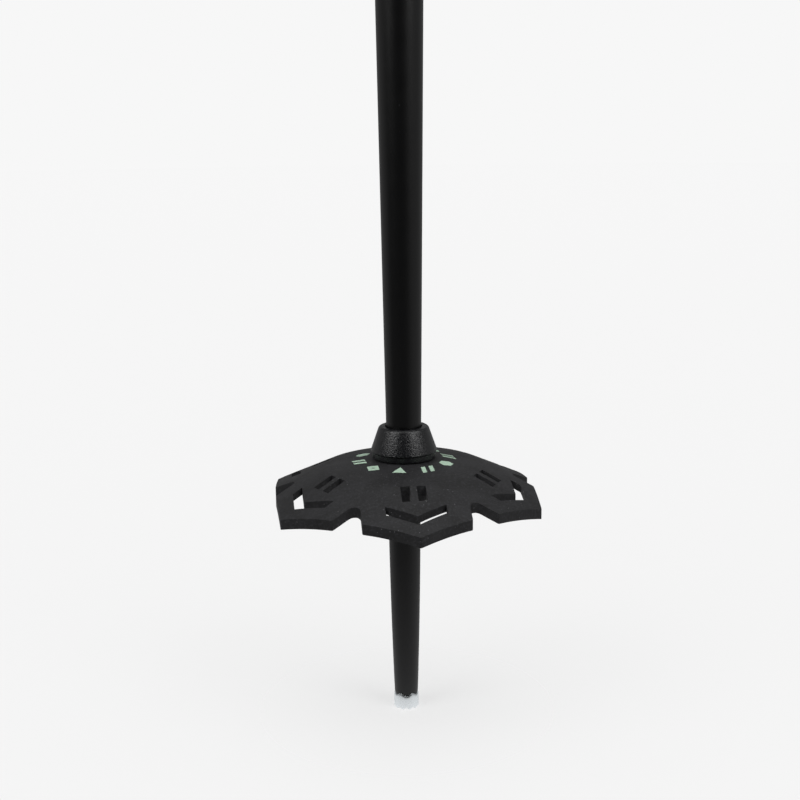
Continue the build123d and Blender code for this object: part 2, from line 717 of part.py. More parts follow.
with BuildPart() as strap_keeper:
    with BuildSketch(Plane.YZ):
        Polygon(
            along(STRAP_REST, KEEPER_OUT, -strap_half - KEEPER_WALL),
            along(STRAP_REST, KEEPER_OUT + KEEPER_LENGTH, -strap_half - KEEPER_WALL),
            along(STRAP_REST, KEEPER_OUT + KEEPER_LENGTH, strap_half + KEEPER_WALL),
            along(STRAP_REST, KEEPER_OUT, strap_half + KEEPER_WALL),
            align=None,
        )
    extrude(amount=KEEPER_HALF_WIDTH, both=True)
    fillet(strap_keeper.edges().filter_by(Axis.X), KEEPER_ROUND)
    with BuildSketch(Plane.YZ):
        Polygon(
            along(STRAP_REST, 0, -strap_half),
            along(STRAP_REST, STEM_LENGTH, -strap_half),
            along(STRAP_REST, STEM_LENGTH, strap_half),
            along(STRAP_REST, 0, strap_half),
            align=None,
        )
    extrude(amount=STRAP_HALF_WIDTH, both=True, mode=Mode.SUBTRACT)
strap_keeper.part.label = "strap_keeper"
export_step(strap_keeper.part, "parts/strap_keeper.step")
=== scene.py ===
"""Looks of a telescoping trekking pole with a lobed snow basket, built round its CAD frame.

Every piece is in metres in the frame's own axes: the origin is where the tip meets the ground and
+Z runs up the pole. Outlines are written in millimetres and scaled by MM.
"""

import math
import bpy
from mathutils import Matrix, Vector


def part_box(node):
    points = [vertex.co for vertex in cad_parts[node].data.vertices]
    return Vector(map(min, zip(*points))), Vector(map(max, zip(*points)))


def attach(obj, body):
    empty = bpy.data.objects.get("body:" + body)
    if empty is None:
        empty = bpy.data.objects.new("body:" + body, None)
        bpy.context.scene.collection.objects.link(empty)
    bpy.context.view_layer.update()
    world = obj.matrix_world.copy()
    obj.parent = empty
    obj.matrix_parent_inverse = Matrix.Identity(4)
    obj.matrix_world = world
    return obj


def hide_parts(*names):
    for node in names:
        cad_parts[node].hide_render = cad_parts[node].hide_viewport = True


bl_info = {
    "name": "Trekking Pole",
    "version": (1, 0, 0),
    "blender": (4, 5, 0),
    "location": "View3D > Sidebar > Pole",
    "description": "Detailed pieces and materials of a telescoping trekking pole with a snow basket",
    "category": "Object",
}

import bmesh
import bpy
from bpy.props import FloatProperty, IntProperty, PointerProperty, StringProperty
from mathutils import Matrix, Vector

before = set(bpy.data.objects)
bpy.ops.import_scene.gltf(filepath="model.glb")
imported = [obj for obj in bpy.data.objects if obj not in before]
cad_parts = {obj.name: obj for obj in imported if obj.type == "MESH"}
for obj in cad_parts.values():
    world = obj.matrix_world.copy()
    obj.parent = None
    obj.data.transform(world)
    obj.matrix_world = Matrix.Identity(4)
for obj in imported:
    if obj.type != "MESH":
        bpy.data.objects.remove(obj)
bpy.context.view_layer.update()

MM = 0.001
TAU = 2 * math.pi
FRONT = math.radians(-90)  # direction of the first basket lobe
SEGMENTS = 128  # facets round a turned piece


def top_of(node):
    """Highest point of a CAD node, in millimetres."""
    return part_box(node)[1].z / MM


def foot_of(node):
    """Lowest point of a CAD node, in millimetres."""
    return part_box(node)[0].z / MM


def half_of(node):
    """Half the width of a CAD node across X, in millimetres."""
    low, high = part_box(node)
    return (high.x - low.x) / 2 / MM


# ---- Sizes and colours a user would change --------------------------------------------------


class PoleFinishes(bpy.types.PropertyGroup):
    """Colours, as sRGB hex values."""

    coat: StringProperty(name="Shaft coat", description="Powder coat on both tubes", default="#060607")
    moulding: StringProperty(
        name="Mouldings", description="Nylon of the ferrule, lock and grip head", default="#0D0D0F"
    )
    basket: StringProperty(name="Basket", description="Elastomer of the snow basket", default="#1F1F20")
    ink: StringProperty(
        name="Printed marks", description="Ink of the basket marks and length scale", default="#D3EFD8"
    )
    trim: StringProperty(name="Trim ring", description="Moulded ring between the foams", default="#A9C9AE")
    foam: StringProperty(name="Foam", description="EVA foam of both grips", default="#202022")
    strap: StringProperty(name="Strap", description="Polyester yarn of the wrist strap", default="#1B1B1D")


class PoleDetails(bpy.types.PropertyGroup):
    """Sizes of the details that the frame leaves plain."""

    basket_edge: FloatProperty(
        name="Basket edge", description="Rounding of the basket's edges", default=0.35 * MM, unit="LENGTH"
    )
    mark_count: IntProperty(name="Basket marks", description="Printed marks round the hub", default=10, min=3)
    mark_radius: FloatProperty(
        name="Mark circle", description="Radius the marks are centred on", default=15.7 * MM, unit="LENGTH"
    )
    tick_pitch: FloatProperty(
        name="Scale pitch", description="Spacing of the length scale's ticks", default=10 * MM, unit="LENGTH"
    )
    groove_pitch: FloatProperty(
        name="Foam groove pitch",
        description="Spacing of the lower foam's rings",
        default=11.5 * MM,
        unit="LENGTH",
    )
    stitch_pitch: FloatProperty(
        name="Stitch pitch", description="Spacing of the strap's stitches", default=3.2 * MM, unit="LENGTH"
    )


class PoleStage(bpy.types.PropertyGroup):
    """Camera and light."""

    backdrop: FloatProperty(name="Backdrop", description="Brightness behind the object", default=0.93, min=0)
    key: FloatProperty(
        name="Right light", description="Power of the right softbox", default=3.1, subtype="POWER"
    )
    fill: FloatProperty(
        name="Left light", description="Power of the left softbox", default=3.2, subtype="POWER"
    )
    top: FloatProperty(
        name="Top light", description="Power of the overhead softbox", default=6.0, subtype="POWER"
    )
    grip: FloatProperty(
        name="Grip light", description="Power of each light on the upper half", default=3.0, subtype="POWER"
    )
    lens: FloatProperty(name="Lens", description="Focal length", default=58.5, subtype="DISTANCE_CAMERA")


# ---- Materials ------------------------------------------------------------------------------


def linear(hex_colour):
    """Linear RGBA of an sRGB hex colour."""
    values = [int(hex_colour[i : i + 2], 16) / 255 for i in (1, 3, 5)]
    return [v / 12.92 if v <= 0.04045 else ((v + 0.055) / 1.055) ** 2.4 for v in values] + [1.0]


def add(tree, kind, inputs=None, **settings):
    """Adds a node, sets its properties, and sets or links its inputs."""
    made = tree.nodes.new(kind)
    for key, value in settings.items():
        setattr(made, key, value)
    for key, value in (inputs or {}).items():
        if isinstance(value, bpy.types.NodeSocket):
            tree.links.new(value, made.inputs[key])
        else:
            made.inputs[key].default_value = value
    return made


def math_node(tree, operation, first, second=0.0):
    """One arithmetic step in a tree."""
    return add(tree, "ShaderNodeMath", {0: first, 1: second}, operation=operation).outputs[0]


def new_material(name, colour, roughness, **sockets):
    """A material with its tree cleared down to a Principled shader with constant sockets set."""
    made = bpy.data.materials.new(name)
    made.use_nodes = True
    tree = made.node_tree
    tree.nodes.clear()
    shader = add(tree, "ShaderNodeBsdfPrincipled", {"Base Color": linear(colour), "Roughness": roughness})
    for key, value in sockets.items():
        shader.inputs[key.replace("_", " ")].default_value = value
    add(tree, "ShaderNodeOutputMaterial", {"Surface": shader.outputs[0]})
    return made, tree, shader


def plain_finish(name, colour, roughness, vary=None, relief=None, specks=None, **sockets):
    """A material of one colour, and its tree and shader.

    vary is (cell, low, high, detail) for roughness, relief is (cell, depth, detail), and specks is
    (cell, size, colour), with cells and depths in millimetres.
    """
    made, tree, shader = new_material(name, colour, roughness, **sockets)
    if vary:
        cell, low, high, detail = vary
        rough(tree, shader, noise(tree, cell, detail), low, high)
    if relief:
        cell, depth, detail = relief
        bump(tree, shader, noise(tree, cell, detail), depth)
    if specks:
        cell, size, pale = specks
        colour = blend_colours(tree, dust(tree, cell, size), colour, pale)
        tree.links.new(colour, shader.inputs["Base Color"])
    return made, tree, shader


def place(tree, kind="Object"):
    """The coordinates that a pattern reads, in metres."""
    return add(tree, "ShaderNodeTexCoord").outputs[kind]


def noise(tree, cell_mm, detail=2.0, roughness=0.5):
    """Noise whose features are about cell_mm across."""
    return add(
        tree,
        "ShaderNodeTexNoise",
        {"Vector": place(tree), "Scale": 1 / (cell_mm * MM), "Detail": detail, "Roughness": roughness},
    ).outputs[0]


def ramp(tree, factor, low, high):
    """A factor stretched so that low gives 0 and high gives 1."""
    return add(tree, "ShaderNodeMapRange", {0: factor, 1: low, 2: high}).outputs[0]


def blend_colours(tree, factor, first, second):
    """Two colours mixed by a factor. Each is a socket or an sRGB hex."""
    first, second = (linear(c) if isinstance(c, str) else c for c in (first, second))
    return add(tree, "ShaderNodeMix", {0: factor, 6: first, 7: second}, data_type="RGBA").outputs[2]


def rough(tree, shader, factor, low, high):
    """Roughness that varies between low and high with a factor."""
    value = add(tree, "ShaderNodeMapRange", {0: factor, 3: low, 4: high}).outputs[0]
    tree.links.new(value, shader.inputs["Roughness"])


def bump(tree, shader, height, depth_mm, strength=1.0):
    """Relief of a depth in millimetres."""
    made = add(tree, "ShaderNodeBump", {"Height": height, "Distance": depth_mm * MM, "Strength": strength})
    tree.links.new(made.outputs[0], shader.inputs["Normal"])


def dust(tree, cell_mm, size):
    """Sparse specks: 1 inside a speck, 0 elsewhere."""
    cells = add(
        tree,
        "ShaderNodeTexVoronoi",
        {"Vector": place(tree), "Scale": 1 / (cell_mm * MM), "Randomness": 1.0},
    )
    spot = ramp(tree, cells.outputs["Distance"], size, size * 0.6)
    lot = add(tree, "ShaderNodeSeparateColor", {0: cells.outputs["Color"]}).outputs[0]
    return math_node(tree, "MULTIPLY", spot, ramp(tree, lot, 0.72, 0.74))


def make_materials(finishes):
    """Every material of the pole, by the maker's name for its finish."""
    made = {}

    # Powder coat: a baked polymer skin, low sheen, with a fine orange peel. The peel is drawn at
    # 0.7 mm, coarser than the real 0.3 mm, so that it shows.
    made["coat"] = plain_finish(
        "powder_coat_black",
        finishes.coat,
        0.34,
        vary=(6.0, 0.31, 0.38, 2.0),
        relief=(0.7, 0.012, 2.0),
        specks=(7.0, 0.03, "#3A3A3C"),
    )[0]

    # Nylon moulding from a lightly blasted tool: satin, with faint flow variation.
    made["nylon"] = plain_finish(
        "moulded_nylon_satin",
        finishes.moulding,
        0.42,
        vary=(4.0, 0.38, 0.48, 2.0),
        relief=(0.45, 0.012, 2.0),
        specks=(9.0, 0.035, "#4A4A4C"),
    )[0]

    # Nylon from a spark-eroded tool: a hard, glossier grain of small pits that sparkle in light.
    eroded, tree, shader = new_material("spark_eroded_nylon", "#0D0E12", 0.3, IOR=1.62)
    grain = noise(tree, 0.6, detail=3.0, roughness=0.6)
    rough(tree, shader, grain, 0.2, 0.42)
    bump(tree, shader, grain, 0.16)
    made["eroded"] = eroded

    # Injection-moulded elastomer: matte, dry to the touch, picks up pale dust and scuffs.
    basket, tree, shader = new_material("moulded_elastomer", finishes.basket, 0.6)
    shade = ramp(tree, noise(tree, 9.0, detail=4.0), 0.35, 0.7)
    base = blend_colours(tree, shade, finishes.basket, "#2B2B2D")
    fine = ramp(tree, noise(tree, 0.9, detail=3.0, roughness=0.6), 0.5, 0.72)
    base = blend_colours(tree, fine, base, "#38383B")
    base = blend_colours(tree, dust(tree, 1.3, 0.12), base, "#88888C")
    tree.links.new(base, shader.inputs["Base Color"])
    rough(tree, shader, noise(tree, 5.0), 0.52, 0.68)
    bump(tree, shader, noise(tree, 0.6, detail=3.0), 0.09)
    made["elastomer"] = basket

    # The same elastomer on the basket's bevelled edges, painted lighter and glossier: a thin painted
    # highlight line along every edge, standing in for light catching the edges.
    edge, tree, shader = new_material("moulded_elastomer_painted_highlight", "#3A3A3C", 0.42)
    # Two painted highlight tones, mixed at random along the edges.
    painted_highlight = ramp(tree, noise(tree, 3.0, detail=3.0), 0.4, 0.7)
    tree.links.new(blend_colours(tree, painted_highlight, "#3A3A3C", "#6A6A6E"), shader.inputs["Base Color"])
    rough(tree, shader, noise(tree, 2.0), 0.34, 0.5)
    made["elastomer_painted_highlight"] = edge

    # Pad-printed ink: opaque, a little glossier than the rubber under it.
    ink, tree, shader = new_material("pad_printed_ink", finishes.ink, 0.5)
    colour = blend_colours(tree, ramp(tree, noise(tree, 0.8), 0.3, 0.75), finishes.ink, "#B9D6BE")
    tree.links.new(colour, shader.inputs["Base Color"])
    made["ink"] = ink

    # Turned and hardened steel: fine rings round the axis from the tool, bright and cool.
    steel, tree, shader = plain_finish(
        "turned_steel", "#F4F9FC", 0.28, vary=(1.2, 0.22, 0.34, 3.0), Metallic=1.0
    )
    rings = add(
        tree,
        "ShaderNodeTexWave",
        {"Vector": place(tree), "Scale": 1 / (0.9 * MM), "Distortion": 0.4},
        bands_direction="Z",
    ).outputs[1]
    bump(tree, shader, rings, 0.004)
    made["steel"] = steel

    # Zinc-plated steel: bright passivated plating with soft clouding.
    made["zinc"] = plain_finish(
        "zinc_plated_steel",
        "#B9BDC2",
        0.32,
        vary=(2.0, 0.26, 0.42, 2.0),
        relief=(0.4, 0.006, 2.0),
        Metallic=1.0,
    )[0]

    # Glass-filled nylon: matte with faint swirls where the short fibres flowed.
    filled, tree, shader = new_material("glass_filled_nylon", finishes.moulding, 0.5)
    swirl = ramp(tree, noise(tree, 3.0, detail=5.0, roughness=0.6), 0.4, 0.7)
    colour = blend_colours(tree, swirl, finishes.moulding, "#232325")
    tree.links.new(colour, shader.inputs["Base Color"])
    rough(tree, shader, swirl, 0.42, 0.56)
    bump(tree, shader, noise(tree, 0.5), 0.02)
    made["filled"] = filled

    # Closed-cell EVA foam, ground to shape: open cut cells give a dry, velvety, pitted skin.
    foam, tree, shader = new_material("ground_eva_foam", finishes.foam, 0.9, Specular_IOR_Level=0.25)
    cells = add(
        tree,
        "ShaderNodeTexVoronoi",
        {"Vector": place(tree), "Scale": 1 / (0.55 * MM), "Randomness": 1.0},
    ).outputs["Distance"]
    patch = noise(tree, 12.0, detail=4.0)
    colour = blend_colours(tree, ramp(tree, cells, 0.15, 0.7), "#111112", finishes.foam)
    colour = blend_colours(tree, ramp(tree, patch, 0.4, 0.8), colour, "#2B2B2D")
    tree.links.new(colour, shader.inputs["Base Color"])
    bump(tree, shader, cells, 0.12)
    made["foam"] = foam

    # Soft-touch polymer: a rubbery skin over the hard core, finely textured.
    made["touch"] = plain_finish(
        "soft_touch_polymer",
        finishes.moulding,
        0.62,
        vary=(7.0, 0.55, 0.7, 2.0),
        relief=(0.5, 0.03, 3.0),
    )[0]

    # Pigmented nylon trim: satin, evenly coloured.
    made["trim"] = plain_finish(
        "pigmented_nylon",
        finishes.trim,
        0.42,
        vary=(3.0, 0.38, 0.5, 2.0),
        relief=(0.6, 0.012, 2.0),
    )[0]

    # Acetal: natural white, waxy and slightly translucent.
    made["acetal"] = plain_finish(
        "natural_acetal",
        "#DEDDD6",
        0.38,
        vary=(3.0, 0.33, 0.45, 2.0),
        Subsurface_Weight=0.08,
        Subsurface_Radius=(0.002, 0.002, 0.0015),
    )[0]

    # Polyester webbing: slanting ribs over lengthwise ones, each a run of about 1 mm of yarn.
    webbing, tree, shader = new_material(
        "polyester_webbing", finishes.strap, 0.75, Sheen_Weight=0.35, Sheen_Roughness=0.4
    )
    ribs, warp = (
        add(
            tree,
            "ShaderNodeTexWave",
            {"Vector": place(tree, "UV"), "Scale": 1 / (rib_mm * MM) / TAU * 2.2, "Distortion": 0.0},
            bands_direction=direction,
        ).outputs[1]
        for rib_mm, direction in ((1.3, "DIAGONAL"), (1.1, "Y"))
    )
    weave = math_node(tree, "MULTIPLY", ribs, warp)
    colour = blend_colours(tree, weave, "#0D0D0E", finishes.strap)
    colour = blend_colours(tree, ramp(tree, noise(tree, 5.0), 0.45, 0.8), colour, "#2A2A2D")
    tree.links.new(colour, shader.inputs["Base Color"])
    bump(tree, shader, weave, 0.18)
    made["webbing"] = webbing

    # Bonded sewing thread: a little lighter than the tape it crosses.
    made["thread"] = plain_finish(
        "bonded_thread", "#8FAE95", 0.6, relief=(0.3, 0.03, 2.0), Sheen_Weight=0.3
    )[0]
    return made


def material(name):
    """A material made by make_materials, by its short name."""
    return MATERIALS[name]


MATERIALS = {}


# ---- Mesh helpers ---------------------------------------------------------------------------


def rounded(points, radii, steps=5, closed=True):
    """An outline with its corners replaced by arcs. radii gives a radius for some corner numbers."""
    out = []
    count = len(points)
    for i, point in enumerate(points):
        radius = radii.get(i, 0)
        end = not closed and i in (0, count - 1)
        if not radius or end:
            out.append(tuple(point))
            continue
        p = Vector(point)
        a = (Vector(points[i - 1]) - p).normalized()
        b = (Vector(points[(i + 1) % count]) - p).normalized()
        half = math.acos(max(-1.0, min(1.0, a.dot(b)))) / 2
        centre = p + (a + b).normalized() * radius / math.sin(half)
        start = p + a * radius / math.tan(half) - centre
        stop = p + b * radius / math.tan(half) - centre
        turn = start.angle_signed(stop)
        for k in range(steps + 1):
            spoke = start.copy()
            spoke.rotate(Matrix.Rotation(-turn * k / steps, 2))
            out.append(tuple(centre + spoke))
    return out


def finish_mesh(name, bm, body, finish, replaces=(), sharp=35.0):
    """Turns a bmesh into a piece that rides on a body and wears a material."""
    bmesh.ops.remove_doubles(bm, verts=bm.verts, dist=1e-7)
    bmesh.ops.recalc_face_normals(bm, faces=bm.faces)
    mesh = bpy.data.meshes.new(name)
    bm.to_mesh(mesh)
    bm.free()
    return finish_object(name, mesh, body, finish, replaces, sharp)


def finish_object(name, mesh, body, finish, replaces=(), sharp=35.0):
    """Makes a piece from a mesh, smooths it up to an angle, and ties it to the frame."""
    mesh.polygons.foreach_set("use_smooth", [True] * len(mesh.polygons))
    mesh.set_sharp_from_angle(angle=math.radians(sharp))
    piece = bpy.data.objects.new(name, mesh)
    bpy.context.scene.collection.objects.link(piece)
    mesh.materials.clear()
    mesh.materials.append(material(finish))
    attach(piece, body)
    if replaces:
        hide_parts(*replaces)
    return piece


def turned(outline, segments=SEGMENTS, warp=None):
    """A bmesh turned about Z from a closed outline of (radius, height) in millimetres.

    warp, if given, maps (radius, height, angle) to a new radius and height.
    """
    bm = bmesh.new()
    rings = []
    for radius, height in outline:
        ring = []
        for k in range(segments):
            angle = TAU * k / segments
            r, z = warp(radius, height, angle) if warp else (radius, height)
            ring.append(bm.verts.new((r * MM * math.cos(angle), r * MM * math.sin(angle), z * MM)))
            if radius == 0:
                break
        rings.append(ring)
    for a, b in zip(rings, rings[1:] + rings[:1]):
        for k in range(segments):
            corners = [a[k % len(a)], a[(k + 1) % len(a)], b[(k + 1) % len(b)], b[k % len(b)]]
            corners = [c for i, c in enumerate(corners) if c not in corners[:i]]
            if len(corners) > 2:
                bm.faces.new(corners)
    return bm


def copied(node, flat=0.6):
    """A bmesh of a CAD node with its loose triangles joined and its flat faces made whole."""
    bm = bmesh.new()
    bm.from_mesh(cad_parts[node].data)
    bmesh.ops.remove_doubles(bm, verts=bm.verts, dist=2e-6)
    bmesh.ops.dissolve_limit(bm, angle_limit=math.radians(flat), verts=bm.verts, edges=bm.edges)
    return bm


def soften(piece, width_mm, segments=2, angle=32.0, painted_highlight=-1):
    """Rounds the piece's edges with a bevel. If a slot number is given, the bevel faces take that slot's
    material, which on the basket paints a highlight along every edge.
    """
    bevel = piece.modifiers.new("edges", "BEVEL")
    bevel.width = width_mm * MM
    bevel.segments = segments
    bevel.limit_method = "ANGLE"
    bevel.angle_limit = math.radians(angle)
    bevel.use_clamp_overlap = True
    # The bevel faces take the given slot: on the basket, its painted edge highlight.
    bevel.material = painted_highlight
    bevel.harden_normals = False
    return piece


def copy_piece(node, body, slot, finish, edge_mm, flat=0.6, segments=2):
    """A piece that stands for a CAD node, with the same shape and rounded edges."""
    piece = finish_mesh(f"{node}_detail", copied(node, flat), body, finish, [node])
    return soften(piece, edge_mm, segments)


# ---- Geometry Nodes helpers -----------------------------------------------------------------


def new_tree(name, inputs):
    """A Geometry Nodes tree with named inputs, given as (name, socket type, default)."""
    tree = bpy.data.node_groups.new(name, "GeometryNodeTree")
    for label, kind, default in inputs:
        socket = tree.interface.new_socket(name=label, in_out="INPUT", socket_type=kind)
        if default is not None:
            socket.default_value = default
    tree.interface.new_socket(name="Geometry", in_out="OUTPUT", socket_type="NodeSocketGeometry")
    return tree, tree.nodes.new("NodeGroupInput")


def close_tree(tree, geometry):
    """Ends a tree with its instances realised and its material set."""
    real = add(tree, "GeometryNodeRealizeInstances", {"Geometry": geometry})
    painted = add(
        tree,
        "GeometryNodeSetMaterial",
        {"Geometry": real.outputs[0], "Material": tree.nodes["Group Input"].outputs["Material"]},
    )
    add(tree, "NodeGroupOutput", {"Geometry": painted.outputs[0]})


def grow(name, tree, values, body, finish, sharp=35.0):
    """Runs a tree on an empty mesh and bakes the result as a plain mesh piece."""
    seed = bpy.data.objects.new(f"{name}_seed", bpy.data.meshes.new(f"{name}_seed"))
    bpy.context.scene.collection.objects.link(seed)
    modifier = seed.modifiers.new("grow", "NODES")
    modifier.node_group = tree
    sockets = {s.name: s.identifier for s in tree.interface.items_tree if s.in_out == "INPUT"}
    for label, value in values.items():
        modifier[sockets[label]] = value
    modifier[sockets["Material"]] = material(finish)
    depsgraph = bpy.context.evaluated_depsgraph_get()
    mesh = bpy.data.meshes.new_from_object(seed.evaluated_get(depsgraph))
    mesh.name = name
    bpy.data.objects.remove(seed)
    return finish_object(name, mesh, body, finish, sharp=sharp)


# ---- Tip ------------------------------------------------------------------------------------

CROWN_LOBES = 6  # every size below is in millimetres
CROWN_LOBE_HEIGHT = 0.42  # rise of the steel lobes between the ferrule's tongues
CROWN_TEETH = 11
TOOTH_DEPTH = 0.8
TOOTH_WALL = 1.2
TOOTH_STEPS = 24  # facets round one tooth
SHANK_R = 2.4
SHANK_LENGTH = 12.6
FERRULE_FOOT_R = 4.15
FERRULE_TOP_R = 5.6
FERRULE_BOW = 0.21  # how far the side stands out of a straight line
FERRULE_SIDE = 66.6  # length of the bowed side
BARB = ((5.6, 1.8), (8.0, 5.0), (8.0, 6.05), (7.45, 6.6))  # (radius, height above the side)
SEAT_R = 7.45
NECK_R = 7.2
SOCKET_R = 6.0
SOCKET_FOOT_R = 5.74
SOCKET_DEPTH = 20
FERRULE_STEPS = 144  # facets round it, a multiple of its tongues
TOOTH_TURN = math.radians(25.3)  # first notch, round from the front lobe
SEAM_TURN = math.radians(-5.8)  # first tongue of the ferrule, round from the front lobe


def seam_rise(angle):
    """Height added to the joint between ferrule and crown at an angle, in millimetres."""
    return -CROWN_LOBE_HEIGHT * math.cos(CROWN_LOBES * (angle - FRONT - SEAM_TURN))


def crown_warp(seam):
    """The rule that cuts the crown's teeth at its foot and raises lobes at its seam."""

    def warp(radius, height, angle):
        if radius > SHANK_R + 0.6 and seam - 1.0 < height <= seam:
            return radius, height + seam_rise(angle) * max(0.0, 1 - abs(seam - height))
        if radius > SHANK_R + 0.6 and height < TOOTH_DEPTH + 0.05:
            pitch = TAU / CROWN_TEETH
            across = abs((angle - FRONT - TOOTH_TURN + pitch / 2) % pitch - pitch / 2) / (pitch / 2)
            cut = TOOTH_DEPTH * (0.5 + 0.5 * math.cos(math.pi * min(1.0, across * 1.1)))
            return radius, max(height, cut)
        return radius, height

    return warp


class POLE_OT_tip(bpy.types.Operator):
    """Build the toothed steel crown and the ferrule that holds it"""

    bl_idname = "pole.tip"
    bl_label = "Tip"

    def execute(self, context):
        self.crown()
        self.ferrule()
        return {"FINISHED"}

    @staticmethod
    def crown():
        """The crown: a dished end face inside a toothed wall, and a shank up into the ferrule."""
        top = top_of("crown_tip")
        seam = top - SHANK_LENGTH
        foot_r = half_of("crown_tip")
        inner = foot_r - TOOTH_WALL
        outline = [
            (0, 1.5),
            (inner - 0.3, 0.9),
            (inner, 0.7),
            (inner, 0.12),
            (inner + 0.12, 0),
            (foot_r - 0.14, 0),
            (foot_r, 0.14),
            (foot_r, TOOTH_DEPTH),
            (foot_r - 0.02, 3.6),
            (foot_r - 0.05, seam - 1.0),
            (foot_r - 0.12, seam - 0.6),
            (foot_r - 0.22, seam - 0.3),
            (foot_r - 0.4, seam),
            (SHANK_R, seam),
            (SHANK_R, top),
            (0, top),
        ]
        bm = turned(outline, CROWN_TEETH * TOOTH_STEPS, crown_warp(seam))
        finish_mesh("crown_tip_detail", bm, "lower", "steel", ["crown_tip"])

    def ferrule(self):
        """The ferrule: a bowed side, the barb and seat that hold the basket, and the tube's socket."""
        shank_top, top = top_of("crown_tip"), top_of("ferrule")
        seam = shank_top - SHANK_LENGTH
        side = [self.side_point(seam, FERRULE_SIDE, k / 12) for k in range(13)]
        side_top = seam + FERRULE_SIDE
        collar_foot = foot_of("shaft_collar")
        outline = rounded(
            [(side[0][0] - 0.35, side[0][1])]
            + [(side[0][0], side[0][1] + 0.35)]
            + side[1:]
            + [(radius, side_top + height) for radius, height in BARB]
            + [
                (SEAT_R, collar_foot),
                (NECK_R, collar_foot),
                (NECK_R, top),
                (SOCKET_R, top),
                (SOCKET_FOOT_R, top - SOCKET_DEPTH),
                (0, top - SOCKET_DEPTH),
                (0, shank_top),
                (SHANK_R, shank_top),
                (SHANK_R, side[0][1]),
            ],
            {15: 0.3, 16: 0.2},
            steps=3,
        )

        def warp(radius, height, angle):
            near = max(0.0, 1 - (height - seam) / 1.5)
            return radius, height + seam_rise(angle) * near * (1 if radius > 3.0 else 0)

        bm = turned(outline, FERRULE_STEPS, warp)
        finish_mesh("ferrule_detail", bm, "lower", "nylon", ["ferrule"])

    @staticmethod
    def side_point(seam, length, t):
        """A point up the ferrule's bowed side, from its foot at t 0 to t 1."""
        straight = FERRULE_FOOT_R + (FERRULE_TOP_R - FERRULE_FOOT_R) * t
        return straight + 4 * FERRULE_BOW * t * (1 - t), seam + length * t


# ---- Collar ---------------------------------------------------------------------------------


COLLAR_LIP = 0.55  # how far the cone's foot stands out over the band
COLLAR_BAND = (1.95, 2.4)  # heights of the band's top and of the cone's foot
COLLAR_TOP_R = 8.5
COLLAR_BORE_R = 6.3
COLLAR_CUP = 7.6  # depth of the cup over the ferrule's neck


class POLE_OT_collar(bpy.types.Operator):
    """Build the conical collar that retains the basket"""

    bl_idname = "pole.collar"
    bl_label = "Collar"

    def execute(self, context):
        foot, top = foot_of("shaft_collar"), top_of("shaft_collar")
        base_r = half_of("shaft_collar")
        band_r = base_r - COLLAR_LIP
        outline = rounded(
            [
                (NECK_R, foot),
                (band_r, foot),
                (band_r, foot + COLLAR_BAND[0]),
                (base_r, foot + COLLAR_BAND[1]),
                (COLLAR_TOP_R, top),
                (COLLAR_BORE_R, top),
                (COLLAR_BORE_R, foot + COLLAR_CUP),
                (NECK_R, foot + COLLAR_CUP),
            ],
            {1: 0.3, 3: 0.28, 4: 1.3, 5: 0.35},
            steps=6,
        )
        bm = turned(outline)
        finish_mesh("shaft_collar_detail", bm, "lower", "eroded", ["shaft_collar"])
        return {"FINISHED"}


# ---- Basket ---------------------------------------------------------------------------------


